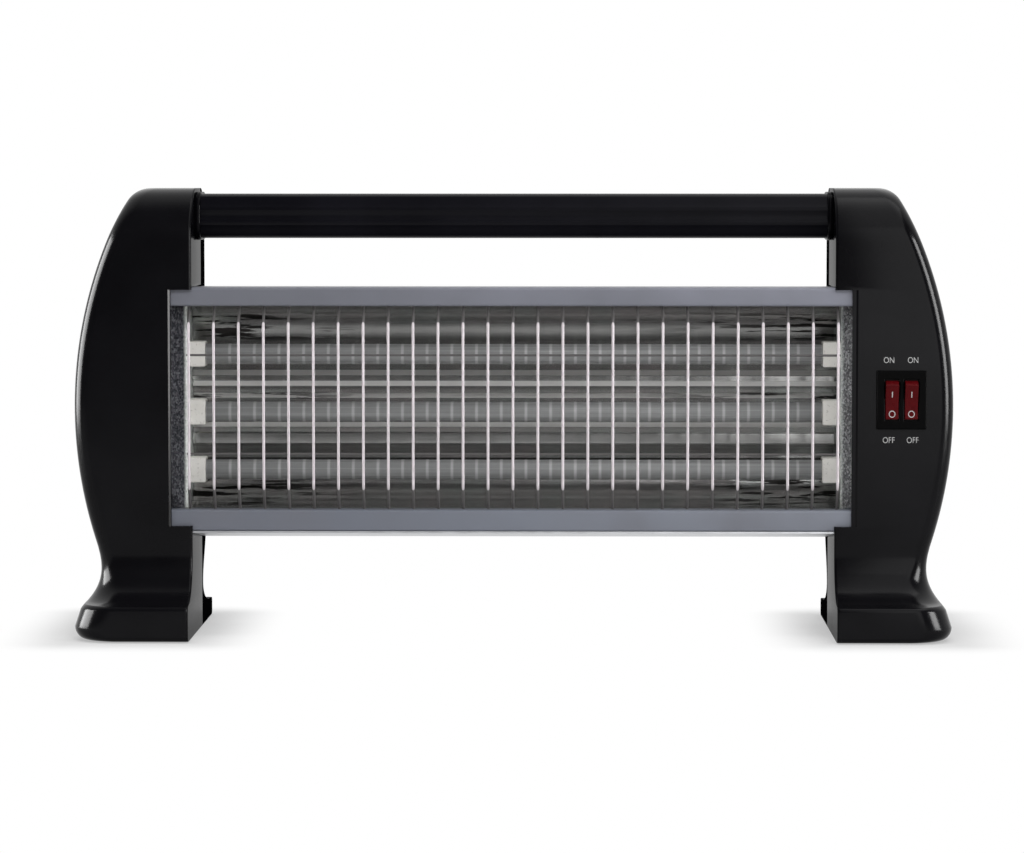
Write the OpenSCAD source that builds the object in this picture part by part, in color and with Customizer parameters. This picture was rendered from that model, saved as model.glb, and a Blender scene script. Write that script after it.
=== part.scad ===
// Free-standing quartz bar heater: two hollow moulded side panels with feet carry a sheet steel
// housing, a polished reflector with three quartz tubes, a wire guard and a fluted handle bar.
// X runs along the bar, -Y is the warm front, +Z is up, and the origin lies on the floor
// under the middle of the object.

/* [Overall] */
// Width over both side panels
overall_w = 471.6; // [460:0.4:480]
// Height over the side panels
overall_h = 241; // [236:1:250]
// Depth of a foot, from toe to heel
foot_depth = 138; // [132:1:150]
// Clear width between the inner walls of the side panels
clear_w = 344; // [338:1:350]

/* [Side panels] */
// Depth of a panel above its foot
panel_depth = 76; // [74:1:80]
// Wall of the moulded panels
panel_wall = 2.5; // [2:0.1:3]
// Height at which the bowed outline is widest
outline_mid_z = 123; // [118:1:128]
// Round of the outline into the flat top
shoulder_r = 12; // [9:1:16]
// Round of the front face into the top
crown_front_r = 30; // [24:1:34]
// Round of the rear face into the top
crown_rear_r = 20; // [16:1:24]
// Round of the upright outer edges
edge_r = 8; // [6:0.5:10]
// Small round of the upright inner edges
inner_edge_r = 1.5; // [1:0.1:2]
// Depth of the front shell, up to the joint with the rear shell
parting_depth = 53; // [51:1:55]

/* [Feet] */
// Height of the toe
toe_h = 19.5; // [18:0.5:22]
// Hollow sweep from the front face out to the toe
sweep_r = 25; // [22:1:27]
// Small round along the top and bottom of toe and heel
toe_edge_r = 2.5; // [2:0.1:3]
// Round of the toe's outer corner, seen from above
toe_corner_r = 18; // [14:1:20]
// How far the toe stays inside the widest line of the panel
toe_inset = 1.75; // [1:0.25:5]
// How far the toe spreads between its top and its widest line
toe_flare = 5; // [4:0.5:6]
// How far above the front sweep the side outline starts to turn into the neck
neck_blend = 6; // [0:0.5:9]
// Upright round of the sole's outer edge
sole_r = 7; // [6:0.5:9]
// Height of the heel
heel_h = 10; // [9:0.5:12]
// Height at which the rear of the leg is thinnest
leg_z = 24; // [22:1:26]
// Height at which the leg has become the full panel
leg_top_z = 54; // [50:1:56]
// How far the rear of the leg is drawn in
leg_inset = 17; // [14:0.5:18]
// Thickness of the rubber pads
pad_h = 0.6; // [0.5:0.1:1.5]
// Diameter of the rubber pads
pad_d = 12; // [9:0.5:14]

/* [Handle] */
// Height of the handle bar
handle_h = 24; // [22:0.5:25]
// Depth of the handle bar
handle_depth = 34; // [30:0.5:36]
// Step from the top of the panels down to the bar
handle_drop = 3; // [2:0.5:5]
// Round of the bar's long edges
handle_r = 9; // [7:0.5:10]
// Wall of the hollow bar
handle_wall = 3; // [2.5:0.1:3.5]
// Spacing of the flutes
flute_pitch = 7.6; // [7:0.1:7.8]
// Radius of a flute
flute_r = 5; // [4.5:0.1:6]
// Depth of a flute
flute_depth = 0.9; // [0.5:0.1:1.2]
// Thickness of the bar's end caps
cap_t = 3; // [2:0.5:4]
// Height of the caps' rim over the bar
cap_rim = 1; // [0.6:0.1:1.5]
// Depth of the caps' plugs in the bar
plug_l = 12; // [10:1:16]

/* [Housing] */
// Height of the housing's top over the floor
housing_top_z = 188; // [186:0.5:191]
// Height of the housing's front lower edge over the floor
housing_low_z = 56.2; // [55:0.2:58]
// Depth of the housing
housing_depth = 67; // [65:0.5:69]
// Fall of the housing's underside from front to rear
housing_drop = 8; // [6:0.5:10]
// Thickness of the sheet steel
sheet_t = 1; // [0.8:0.1:1.2]
// Height of the grey upper rail
top_rail_h = 10; // [9:0.5:12]
// Height of the grey lower rail
low_rail_h = 12.6; // [11:0.2:14]
// Depth of the rails' flanges on the housing
rail_flange = 20; // [16:1:24]
// Depth of the rails' lips that hold the guard
rail_lip = 10; // [9:0.5:11]
// How far the housing reaches behind each panel's inner edge
housing_tuck = 17; // [15:0.5:18]
// Width of the notch in each panel that shows the housing's end
notch_w = 12.5; // [11:0.5:14]
// Distance from a panel's inner face to the end plate in it
plate_inset = 4.25; // [3.75:0.25:6]
// How far a panel covers the upper rail at the notch
notch_lip_top = 1.2; // [0.8:0.1:2]
// How far a panel covers the lower rail at the notch
notch_lip_low = 3.8; // [3:0.1:5]
// Length of a cooling slot in the back
slot_l = 36; // [30:1:40]
// Height of a cooling slot
slot_h = 4; // [3:0.5:5]

/* [Reflector and tubes] */
// Distance from the front of the rails to the reflector's back
reflector_depth = 49; // [46:0.5:50]
// Bend between the reflector's back and its top and bottom
reflector_r = 25; // [22:1:27]
// Height of the ribs pressed into the reflector
rib_h = 6; // [4:0.5:7]
// Thickness of the reflector sheet
reflector_t = 0.6; // [0.5:0.1:0.8]
// Height of the middle tube over the floor
tube_mid_z = 120; // [118:0.5:123]
// Spacing of the quartz tubes
tube_pitch = 31.4; // [29:0.2:32]
// Outer diameter of a quartz tube
tube_d = 11; // [10:0.1:12]
// Wall of a quartz tube
tube_wall = 1.2; // [1:0.1:1.4]
// Distance from the front of the rails to the tubes' axes
tube_setback = 25; // [23:0.5:27]
// Outer diameter of the heating coil
coil_d = 7; // [6:0.1:7.6]
// Side of the square ceramic holders
holder_side = 13.6; // [13.4:0.1:15]
// How far a holder stands out of its end plate towards the middle
holder_show = 9.5; // [8:0.5:12]
// How far a tube sits in its holder
tube_seat = 9; // [8:0.5:10]
// Diameter of the terminal pins
pin_d = 3; // [2.5:0.1:3.5]

/* [Guard] */
// Number of upright wires
wire_count = 27; // [23:1:29]
// Spacing of the upright wires
wire_pitch = 13.36; // [13:0.02:14]
// Diameter of the wires
wire_d = 1.8; // [1.6:0.1:2]
// How far the guard stands in front of the rails
guard_proud = 1.2; // [1:0.1:1.5]
// How far the wires' ends are bent back
guard_bend = 7; // [6:0.1:7.5]
// Height of the bent stretch at each end
guard_bend_h = 10; // [8:0.5:12]
// Spacing of the two level wires
guard_cross = 53; // [44:1:60]
// How far the two level wires lie above the middle of the opening
guard_lift = 1.9; // [0:0.1:4]
// Diameter of the two level wires
level_wire_d = 1.2; // [1:0.1:1.8]

/* [Switch] */
// Height of the switch's middle over the floor
switch_z = 128.2; // [122:0.2:132]
// Distance from a panel's inner wall to the switch's middle
switch_inset = 35.4; // [33:0.2:36]
// Width of the switch's bezel
bezel_w = 26.6; // [26:0.1:28]
// Height of the switch's bezel
bezel_h = 31.4; // [30:0.1:33]
// Thickness of the bezel
bezel_t = 2.5; // [2:0.1:3]
// Spacing of the two rockers
rocker_pitch = 10.3; // [9.8:0.1:10.8]
// Width of a rocker
rocker_w = 7; // [6.6:0.1:7.2]
// Half the length of a rocker, from its pivot
rocker_r = 10.6; // [10:0.1:11]
// Angle between the two rest places of a rocker
rocker_travel = 22; // [16:1:24]
// Diameter of a rocker's pivot pins
rocker_pin_d = 2.4; // [2:0.1:2.6]
// Depth of the switch's body behind the panel's front
switch_depth = 22; // [20:0.5:24]

/* [Inner parts] */
// Swing of the tip-over weight to each side
tip_swing = 20; // [10:1:22]
// Length of the tip-over weight's arm
tip_arm = 13; // [11:0.5:13.5]
// Diameter of the tip-over weight
tip_weight_d = 10; // [8:0.5:10]
// Diameter of an insulated lead
lead_d = 2.4; // [2:0.1:2.6]
// Bore of the cord inlet bush
inlet_bore_d = 7.4; // [6:0.1:8]
// Diameter of the screws' shanks
screw_d = 2.8; // [2.5:0.1:3]

/* [Hidden] */

$fn = 48;
slack = 0.2;
cut = 1;
round_steps = 7;

// Side panel and foot
inner_x = clear_w/2;
outline_r = overall_w/2;
toe_y = foot_depth/2;
toe_half = outline_r - toe_inset;
toe_top_x = toe_half - toe_flare;
front_y = -toe_y + sweep_r + toe_edge_r;
rear_y = front_y + panel_depth;
parting_y = front_y + parting_depth;
leg_y = rear_y - leg_inset;
neck_z = toe_h + sweep_r;
waist_z = neck_z + neck_blend;
sole_z = pad_h + sole_r;
shoulder_z = overall_h - shoulder_r;
shoulder_x = sqrt(pow(outline_r - shoulder_r, 2) - pow(shoulder_z - outline_mid_z, 2));
shoulder_start = outline_mid_z + outline_r*(shoulder_z - outline_mid_z)/(outline_r - shoulder_r);
wall_front_y = front_y + panel_wall;
wall_rear_y = rear_y - panel_wall;

// Handle
handle_y = front_y + panel_depth/2;
handle_z = overall_h - handle_drop - handle_h/2;
bar_half = inner_x - cap_t;

// Housing
rail_y = wall_front_y + slack;
housing_y = rail_y + sheet_t;
housing_rear_y = rail_y + housing_depth;
housing_half = inner_x + housing_tuck;
opening_top_z = housing_top_z - top_rail_h;
opening_low_z = housing_low_z + low_rail_h;
slot_rows = 3;
slots_per_row = 6;

// Tubes and their ends
tube_y = rail_y + tube_setback;
tube_zs = [for (i = [1, 0, -1]) tube_mid_z + i*tube_pitch];
plate_x = inner_x + plate_inset;
holder_in_x = plate_x - holder_show;
holder_out_x = plate_x + 9;
collar_t = 2;
tube_half = holder_in_x + tube_seat;
coil_half = tube_half - 4;
pin_out_x = holder_out_x + 8;
nut_t = 2.5;
nut_d = 6;
window = holder_side + slack;
reflector_y = rail_y + reflector_depth;
reflector_half = plate_x - slack;
lead_hole_z = tube_mid_z - tube_pitch/2;
lead_hole_y = (reflector_y + housing_rear_y)/2;

// Guard
guard_y = rail_y - guard_proud;
guard_end_y = guard_y + guard_bend;
level_wire_y = guard_y + (wire_d + level_wire_d)/2 - slack;
guard_end_l = 4;
bend_fullness = 1.06;

// Switch
switch_x = inner_x + switch_inset;
body_w = bezel_w - 4.6;
body_h = bezel_h - 4;
switch_rear_y = front_y + switch_depth;
pivot_y = front_y + 0.8;
cavity_w = rocker_w + 0.6;
cavity_h = 2*rocker_r + 0.6;
cavity_depth = 6;
valley_h = 3.2;
rocker_base = 3;
pivot_reach = 0.8;
pivot_slack = 0.05;
tab_l = 8;
tab_rise = 8;

// Screws that join the two shells of a panel
top_screw_out = 26;
top_screw_drop = 27;
mid_screw_out = 50;
mid_screw_rise = 27;
low_screw_out = 47;
low_screw_rise = 12;
panel_screws_xz = [[inner_x + top_screw_out, overall_h - top_screw_drop],
                   [inner_x + mid_screw_out, outline_mid_z + mid_screw_rise],
                   [inner_x + low_screw_out, leg_top_z + low_screw_rise]];
boss_d = 8;
rear_boss_d = 10;
head_d = 6;
head_t = 2;
recess_d = 7;
screw_seat_y = parting_y + 10;
pilot_depth = 8;
handle_screw_ys = [handle_y - 7, handle_y + 7];
plate_flange = 20;
housing_screw_zs = [housing_low_z + 15, housing_top_z - 14];
housing_screw_x = plate_x - plate_flange/2;
housing_screw_l = 6;

// Inner parts
inlet_x = inner_x + 29;
inlet_z = leg_top_z + 15;
inlet_hole_d = 12;
inlet_flange_d = 16;
inlet_flange_t = 2.5;
block_size = [20, 12, 14];
block_x = inner_x + 24;
block_z = inlet_z + 11;
tip_x = inner_x + panel_wall;
tip_wall = 1.5;
tip_w = 2*(tip_arm*sin(tip_swing) + tip_weight_d/2 + 0.7 + tip_wall);
tip_h = tip_arm + tip_weight_d/2 + 7;
tip_depth = 12.5;
tip_y = parting_y - tip_w/2 - 6;
tip_low_z = housing_low_z - housing_drop - tip_h - 0.5;
tip_pivot_z = tip_low_z + tip_h - 4;
tip_pin_d = 2;
tip_eye_d = 5;
tip_slack = 0.08;
lead_x = pin_out_x + 3;
splice_d = 1.5*lead_d;
splice_l = 7;
joint_reach = lead_d/2 + 0.05;
lead_seat = 0.4*lead_d;

// Outline of the panels, seen from the front: half the width at a height
function bow(z) = sqrt(pow(outline_r, 2) - pow(z - outline_mid_z, 2));
function bow_slope(z) = (outline_mid_z - z)/bow(z);
// Smooth join from value a with slope ma to value b with slope mb over a height h
function join(a, b, ma, mb, h, t) =
    a*(2*t*t*t - 3*t*t + 1) + ma*h*(t*t*t - 2*t*t + t) + b*(3*t*t - 2*t*t*t) + mb*h*(t*t*t - t*t);
// Point on a quarter round of radius r, at a distance from its centre line
function quarter(r, d) = sqrt(max(0, r*r - d*d));
function outline_x(z) =
    z > shoulder_start ? shoulder_x + quarter(shoulder_r, z - shoulder_z)
    : z > waist_z ? bow(z)
    : z > toe_h ? join(toe_top_x, bow(waist_z), -2*toe_flare/(toe_h - sole_z), bow_slope(waist_z),
                       waist_z - toe_h, (z - toe_h)/(waist_z - toe_h))
    : z > sole_z ? toe_half - toe_flare*pow((z - sole_z)/(toe_h - sole_z), 2)
    : toe_half - sole_r + quarter(sole_r, sole_z - z);

// Side view: where the front and the rear face lie at a height
function foot_tip(z, top) =
    z > top - toe_edge_r ? toe_y - toe_edge_r + quarter(toe_edge_r, z - top + toe_edge_r)
    : z < pad_h + toe_edge_r ? toe_y - toe_edge_r + quarter(toe_edge_r, pad_h + toe_edge_r - z)
    : toe_y;
function front_face_y(z) =
    z > overall_h - crown_front_r ? front_y + crown_front_r - quarter(crown_front_r, z - overall_h + crown_front_r)
    : z > neck_z ? front_y
    : z > toe_h ? front_y - sweep_r + quarter(sweep_r, neck_z - z)
    : -foot_tip(z, toe_h);
function rear_face_y(z) =
    z > overall_h - crown_rear_r ? rear_y - crown_rear_r + quarter(crown_rear_r, z - overall_h + crown_rear_r)
    : z > leg_top_z ? rear_y
    : z > leg_z ? leg_y + leg_inset*(1 - cos(180*(z - leg_z)/(leg_top_z - leg_z)))/2
    : z > heel_h ? toe_y - toe_edge_r - (toe_y - toe_edge_r - leg_y)*quarter(1, (leg_z - z)/(leg_z - heel_h))
    : foot_tip(z, heel_h);

// Round of the outer edge in plan, wider at the toe
function ease(t) = t*t*(3 - 2*t);
function plan_r(z) =
    toe_corner_r + (edge_r - toe_corner_r)*ease(min(1, max(0, (z - toe_h)/(neck_z - toe_h))));

// The same outlines drawn in by a wall, tested above and below so that no slope gets thin
function near(z, inset) = [for (v = [z - inset, z, z + inset]) min(overall_h, max(pad_h, v))];
function skin_x(z, inset) = min([for (v = near(z, inset)) outline_x(v)]) - inset;
function skin_y(z, inset, front) =
    front ? max([for (v = near(z, inset)) front_face_y(v)]) + inset
    : min([for (v = near(z, inset)) rear_face_y(v)]) - inset;

// Level section of one shell: from the parting plane round the face and back to the plane
function section(z, inset, front) =
    let(side = front ? 1 : -1, y0 = skin_y(z, inset, front), x0 = inner_x + inset,
        x1 = skin_x(z, inset), ri = max(0.3, inner_edge_r - inset), ro = plan_r(z) - inset)
    concat([[x0, parting_y, z]],
        [for (a = [0:45:90]) [x0 + ri*(1 - cos(a)), y0 + side*ri*(1 - sin(a)), z]],
        [for (a = [0:90/round_steps:90.1]) [x1 - ro*(1 - sin(a)), y0 + side*ro*(1 - cos(a)), z]],
        [[x1, parting_y, z]]);
function onto_parting(points) = [for (p = points) [p[0], parting_y, p[2]]];

// Heights of the sections: close together on the rounds and wide apart on the long faces
function steps(from, to, count) = [for (i = [1:count]) from + (to - from)*i/count];
front_heights = concat(
    [for (a = [0:18:90]) pad_h + sole_r*(1 - cos(a))],
    steps(sole_z, toe_h - toe_edge_r, 2),
    [for (a = [30:30:90]) toe_h - toe_edge_r*(1 - sin(a))],
    [for (a = [20:14:90]) neck_z - sweep_r*cos(a)],
    steps(neck_z, overall_h - crown_front_r, 13),
    [for (a = [10:10:90]) overall_h - crown_front_r*(1 - sin(a))]);
rear_heights = concat(
    [for (a = [0:30:90]) pad_h + toe_edge_r*(1 - cos(a))],
    [for (a = [0:30:90]) heel_h - toe_edge_r*(1 - sin(a))],
    [for (a = [15:15:90]) leg_z - (leg_z - heel_h)*cos(a)],
    steps(leg_z, leg_top_z, 6),
    steps(leg_top_z, overall_h - crown_rear_r, 12),
    [for (a = [15:15:90]) overall_h - crown_rear_r*(1 - sin(a))]);
function drawn_in(z, inset) =
    pad_h + inset + (z - pad_h)*(overall_h - pad_h - 2*inset)/(overall_h - pad_h);
function skin(heights, inset, front) =
    let(zs = [for (z = heights) drawn_in(z, inset)], last = len(zs) - 1)
    concat([onto_parting(section(zs[0], inset, front))],
           [for (z = zs) section(z, inset, front)],
           [onto_parting(section(zs[last], inset, front))]);

// One closed surface: the outer skin, the inner skin and the rim between them
module half_shell(heights, front) {
    skins = [skin(heights, 0, front), skin(heights, panel_wall, front)];
    rows = len(skins[0]);
    cols = len(skins[0][0]);
    // At its two ends a cap row shares the points of the row beside it
    function at(i, j, k) = (k*rows + (j == 0 || j == cols - 1 ? min(rows - 2, max(1, i)) : i))*cols + j;
    function turned(f, yes) = yes ? [for (i = [len(f) - 1:-1:0]) f[i]] : f;
    function distinct(f) = [for (i = [0:len(f) - 1]) if (f[i] != f[(i + len(f) - 1) % len(f)]) f[i]];
    patches = [for (k = [0, 1], i = [0:rows - 2], j = [0:cols - 2])
        turned(distinct([at(i, j, k), at(i, j + 1, k), at(i + 1, j + 1, k), at(i + 1, j, k)]), (k == 1) != front)];
    loop = concat([for (i = [1:rows - 2]) [i, 0]], [for (j = [1:cols - 2]) [rows - 1, j]],
                  [for (i = [rows - 2:-1:1]) [i, cols - 1]], [for (j = [cols - 2:-1:1]) [0, j]]);
    rim = [for (n = [0:len(loop) - 1]) let(a = loop[n], b = loop[(n + 1) % len(loop)])
        turned([at(a[0], a[1], 0), at(b[0], b[1], 0), at(b[0], b[1], 1), at(a[0], a[1], 1)], front)];
    polyhedron(points = [for (s = skins, row = s, p = row) p],
               faces = concat([for (f = patches) if (len(f) > 2) f], rim));
}

// Sheet metal: a bent strip of thickness t on the left of a line of points
function across(a, b) = [a[1] - b[1], b[0] - a[0]]/norm(b - a);
function mitre(p, i) =
    i == 0 ? across(p[0], p[1])
    : i == len(p) - 1 ? across(p[i - 1], p[i])
    : let(a = across(p[i - 1], p[i]), b = across(p[i], p[i + 1])) (a + b)/(1 + a*b);
function strip(p, t) =
    concat([for (i = [0:len(p) - 1]) p[i] + mitre(p, i)*t], [for (i = [len(p) - 1:-1:0]) p[i]]);

// Extrudes a side-view profile in Y and Z along the width of the object
module across_width(half) {
    rotate([90, 0, 90]) translate([0, 0, -half]) linear_extrude(2*half) children();
}
module mirrored(left) {
    mirror([left ? 1 : 0, 0, 0]) children();
}
// Cylinders along Y and along X that start at a point
module along_y(p, d, l) {
    translate(p) rotate([-90, 0, 0]) cylinder(d = d, h = l);
}
module along_x(p, d, l) {
    translate(p) rotate([0, 90, 0]) cylinder(d = d, h = l);
}

function housing_outline(c) = [
    [rail_y - c, housing_top_z + c], [housing_rear_y + c, housing_top_z + c],
    [housing_rear_y + c, housing_low_z - housing_drop - c], [rail_y - c, housing_low_z - c]
];

// Way for the housing through a panel's inner wall, and the notch that shows its end
module housing_way(reach) {
    translate([inner_x - cut, 0, 0]) rotate([90, 0, 90]) linear_extrude(reach + cut)
        polygon(housing_outline(slack));
    low = housing_low_z + notch_lip_low;
    translate([inner_x - cut, front_y - cut, low])
        cube([notch_w + cut, panel_wall + 2*cut, housing_top_z - notch_lip_top - low]);
}

module front_panel() {
    difference() {
        union() {
            half_shell(front_heights, true);
            for (p = panel_screws_xz)
                along_y([p[0], wall_front_y - panel_wall/2, p[1]], boss_d, parting_y - wall_front_y + panel_wall/2);
        }
        for (p = panel_screws_xz)
            along_y([p[0], parting_y - pilot_depth, p[1]], screw_d, pilot_depth + cut);
        handle_holes();
        housing_way(panel_wall + cut);
    }
}

module rear_panel() {
    difference() {
        union() {
            half_shell(rear_heights, false);
            for (p = panel_screws_xz)
                along_y([p[0], parting_y, p[1]], rear_boss_d, wall_rear_y + panel_wall/2 - parting_y);
        }
        for (p = panel_screws_xz) {
            along_y([p[0], parting_y - cut, p[1]], screw_d + 2*slack, rear_y - parting_y);
            along_y([p[0], screw_seat_y, p[1]], recess_d, rear_y - screw_seat_y + cut);
        }
        handle_holes();
        housing_way(housing_half - inner_x + slack);
    }
}

module handle_holes() {
    for (y = handle_screw_ys)
        along_x([inner_x - cut, y, handle_z], screw_d + 2*slack, panel_wall + 2*cut);
}

module left_front_panel() {
    color([0.09, 0.09, 0.1]) mirrored(true) front_panel();
}
module right_front_panel() {
    color([0.09, 0.09, 0.1]) difference() {
        front_panel();
        translate([switch_x - body_w/2 - slack, front_y - cut, switch_z - body_h/2 - slack])
            cube([body_w + 2*slack, panel_wall + 2*cut, body_h + 2*slack]);
    }
}
module left_rear_panel() {
    color([0.06, 0.06, 0.07]) mirrored(true) rear_panel();
}
module right_rear_panel() {
    color([0.06, 0.06, 0.07]) difference() {
        rear_panel();
        along_y([inlet_x, wall_rear_y - cut, inlet_z], inlet_hole_d, panel_wall + 2*cut);
    }
}

module foot_pads() {
    color([0.12, 0.12, 0.12])
        for (left = [true, false], y = [-toe_y + toe_corner_r, toe_y - toe_corner_r])
            mirrored(left) translate([inner_x + pad_d, y, 0]) cylinder(d = pad_d, h = pad_h);
}

// Profile of the handle bar in Y and Z, with a round of r, drawn in by an inset
module bar_profile(inset, r) {
    w = handle_depth - 2*inset;
    h = handle_h - 2*inset;
    translate([handle_y, handle_z]) union() {
        square([w - 2*r, h], center = true);
        square([w, h - 2*r], center = true);
        for (y = [-1, 1], z = [-1, 1]) translate([y*(w/2 - r), z*(h/2 - r)]) circle(r);
    }
}
module handle_bar() {
    color([0.07, 0.07, 0.09]) across_width(bar_half) difference() {
        bar_profile(0, handle_r);
        bar_profile(handle_wall, handle_r - handle_wall);
        for (side = [-1, 1], i = [-1:1])
            translate([handle_y + side*(handle_depth/2 + flute_r - flute_depth), handle_z + i*flute_pitch])
                circle(flute_r);
    }
}
module handle_end_caps() {
    color([0.05, 0.05, 0.06]) for (left = [true, false]) mirrored(left) difference() {
        translate([inner_x, 0, 0]) rotate([90, 0, 90]) union() {
            translate([0, 0, -cap_t]) linear_extrude(cap_t) bar_profile(-cap_rim, handle_r + cap_rim);
            translate([0, 0, -cap_t - plug_l]) linear_extrude(plug_l + cap_t)
                bar_profile(handle_wall + slack/2, handle_r - handle_wall - slack/2);
        }
        for (y = handle_screw_ys) along_x([inner_x - plug_l, y, handle_z], screw_d, plug_l + cut);
    }
}

// Housing: top, back and sloping underside bent from one sheet, with cooling slots in the back
module housing_shell() {
    color([0.72, 0.73, 0.75]) difference() {
        across_width(housing_half) polygon(strip([
            [rail_y, housing_low_z], [housing_rear_y, housing_low_z - housing_drop],
            [housing_rear_y, housing_top_z - sheet_t], [housing_y, housing_top_z - sheet_t]
        ], sheet_t));
        for (row = [0:slot_rows - 1], i = [0:slots_per_row - 1])
            translate([(i - (slots_per_row - 1)/2)*slot_l*1.4, housing_rear_y - sheet_t/2,
                       tube_mid_z + (row - (slot_rows - 1)/2)*tube_pitch])
                cooling_slot();
        for (x = [-housing_screw_x, housing_screw_x], z = housing_screw_zs)
            along_y([x, housing_rear_y - sheet_t - cut, z], screw_d + slack, sheet_t + 2*cut);
    }
}
module cooling_slot() {
    straight = slot_l - slot_h;
    cube([straight, sheet_t + 2*cut, slot_h], center = true);
    for (x = [-straight/2, straight/2])
        translate([x, 0, 0]) rotate([90, 0, 0]) cylinder(d = slot_h, h = sheet_t + 2*cut, center = true);
}

// Rails: a face with a flange on the housing and a lip that the guard wires pass through
module rail(outer_z, inner_z, fall) {
    inward = inner_z > outer_z ? -1 : 1;
    line = [
        [rail_y + rail_flange, outer_z - fall*rail_flange/housing_depth], [rail_y, outer_z],
        [rail_y, inner_z], [rail_y + rail_lip, inner_z]
    ];
    difference() {
        across_width(housing_half) polygon(strip(line, inward*sheet_t));
        for (x = wire_xs())
            translate([x, guard_end_y, inner_z]) cylinder(d = wire_d + 2*slack, h = 4*sheet_t, center = true);
    }
}
module top_rail() {
    color([0.44, 0.45, 0.49]) rail(housing_top_z, opening_top_z, 0);
}
module bottom_rail() {
    color([0.44, 0.45, 0.49]) rail(housing_low_z + sheet_t + slack/2, opening_low_z, housing_drop);
}

// Side view of an end plate: between the rails' lips in front and the housing's walls behind
function plate_outline() =
    let(front = rail_y + sheet_t + slack, lip = rail_y + rail_lip + slack, rear = housing_rear_y - sheet_t,
        low = opening_low_z + slack, top = opening_top_z - slack,
        floor_z = housing_low_z + 2*(sheet_t + slack), roof_z = housing_top_z - 2*sheet_t - slack)
    [[front, low], [lip, low], [lip, floor_z - housing_drop*(lip - rail_y)/housing_depth],
     [rear, floor_z - housing_drop], [rear, roof_z], [lip, roof_z], [lip, top], [front, top]];
// End plates: a slanted wing beside the opening, a wall with the holders' windows and a rear flange
module end_plate() {
    wing_x = inner_x + notch_w + panel_wall;
    wing_y = rail_y + sheet_t + slack;
    line = [
        [wing_x, wing_y], [plate_x, tube_y - window/2 - 2],
        [plate_x, housing_rear_y - 2*sheet_t], [plate_x - plate_flange, housing_rear_y - 2*sheet_t]
    ];
    difference() {
        intersection() {
            linear_extrude(housing_top_z) polygon(strip(line, -sheet_t));
            translate([inner_x - panel_depth/2, 0, 0]) rotate([90, 0, 90]) linear_extrude(panel_depth)
                polygon(plate_outline());
        }
        for (z = tube_zs)
            translate([plate_x + sheet_t/2, tube_y, z]) cube([4*sheet_t, window, window], center = true);
        along_x([plate_x - cut - sheet_t, lead_hole_y, lead_hole_z], 2*lead_d, 2*cut + 2*sheet_t);
        for (z = housing_screw_zs)
            along_y([housing_screw_x, housing_rear_y - 2*sheet_t - cut, z], screw_d, sheet_t + 2*cut);
    }
}
module left_end_plate() {
    color([0.5, 0.51, 0.53]) mirrored(true) end_plate();
}
module right_end_plate() {
    color([0.5, 0.51, 0.53]) end_plate();
}

// Reflector: a trough whose rounds lie about the outer tubes, with a rib between each two tubes
module reflector() {
    top = opening_top_z + sheet_t;
    low = opening_low_z - sheet_t;
    lip_y = rail_y + rail_lip - 3;
    rib_w = rib_h/2;
    function bend(z, from) = [for (a = [from:9:from + 90])
        [reflector_y - reflector_r + reflector_r*cos(a), z + reflector_r*sin(a)]];
    function rib(z) = [
        [reflector_y, z - rib_w - rib_h], [reflector_y - rib_h, z - rib_w],
        [reflector_y - rib_h, z + rib_w], [reflector_y, z + rib_w + rib_h]
    ];
    line = concat([[lip_y, low]], bend(low + reflector_r, -90),
        rib(tube_mid_z - tube_pitch/2), rib(tube_mid_z + tube_pitch/2),
        bend(top - reflector_r, 0), [[lip_y, top]]);
    color([0.85, 0.86, 0.87]) across_width(reflector_half) polygon(strip(line, -reflector_t));
}

function wire_xs() = [for (i = [0:wire_count - 1]) (i - (wire_count - 1)/2)*wire_pitch];

// Wire guard: upright wires with bent-back ends, welded to two level wires behind them
module wire_guard() {
    color([0.86, 0.86, 0.88]) {
        for (x = wire_xs()) upright_wire(x);
        for (side = [-1, 1])
            translate([-inner_x - 3, level_wire_y, guard_middle_z() + side*guard_cross/2])
                rotate([0, 90, 0]) cylinder(d = level_wire_d, h = 2*inner_x + 6);
    }
}
function guard_middle_z() = (opening_top_z + opening_low_z)/2 + guard_lift;
module upright_wire(x) {
    low = opening_low_z;
    top = opening_top_z;
    wire_run([[x, guard_end_y, low - sheet_t - guard_end_l], [x, guard_end_y, low + 1],
              [x, guard_y, low + guard_bend_h], [x, guard_y, top - guard_bend_h],
              [x, guard_end_y, top - 1], [x, guard_end_y, top + sheet_t + guard_end_l]], wire_d);
}
// A round wire through a list of points, with a slightly fuller ball at every bend
module wire_run(points, d) {
    for (i = [0:len(points) - 2]) {
        way = (points[i + 1] - points[i])/norm(points[i + 1] - points[i]);
        translate(points[i]) rotate([0, acos(way[2]), atan2(way[1], way[0])])
            cylinder(d = d, h = norm(points[i + 1] - points[i]));
        if (i > 0) translate(points[i]) sphere(d = bend_fullness*d);
    }
}

module quartz_tube(z) {
    color([0.78, 0.78, 0.78]) difference() {
        along_x([-tube_half, tube_y, z], tube_d, 2*tube_half);
        along_x([-tube_half - cut, tube_y, z], tube_d - 2*tube_wall, 2*tube_half + 2*cut);
    }
}
module upper_quartz_tube() { quartz_tube(tube_zs[0]); }
module middle_quartz_tube() { quartz_tube(tube_zs[1]); }
module lower_quartz_tube() { quartz_tube(tube_zs[2]); }

module heating_coil(z) {
    color([0.5, 0.48, 0.46]) along_x([-coil_half, tube_y, z], coil_d, 2*coil_half);
}
module upper_heating_coil() { heating_coil(tube_zs[0]); }
module middle_heating_coil() { heating_coil(tube_zs[1]); }
module lower_heating_coil() { heating_coil(tube_zs[2]); }

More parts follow.
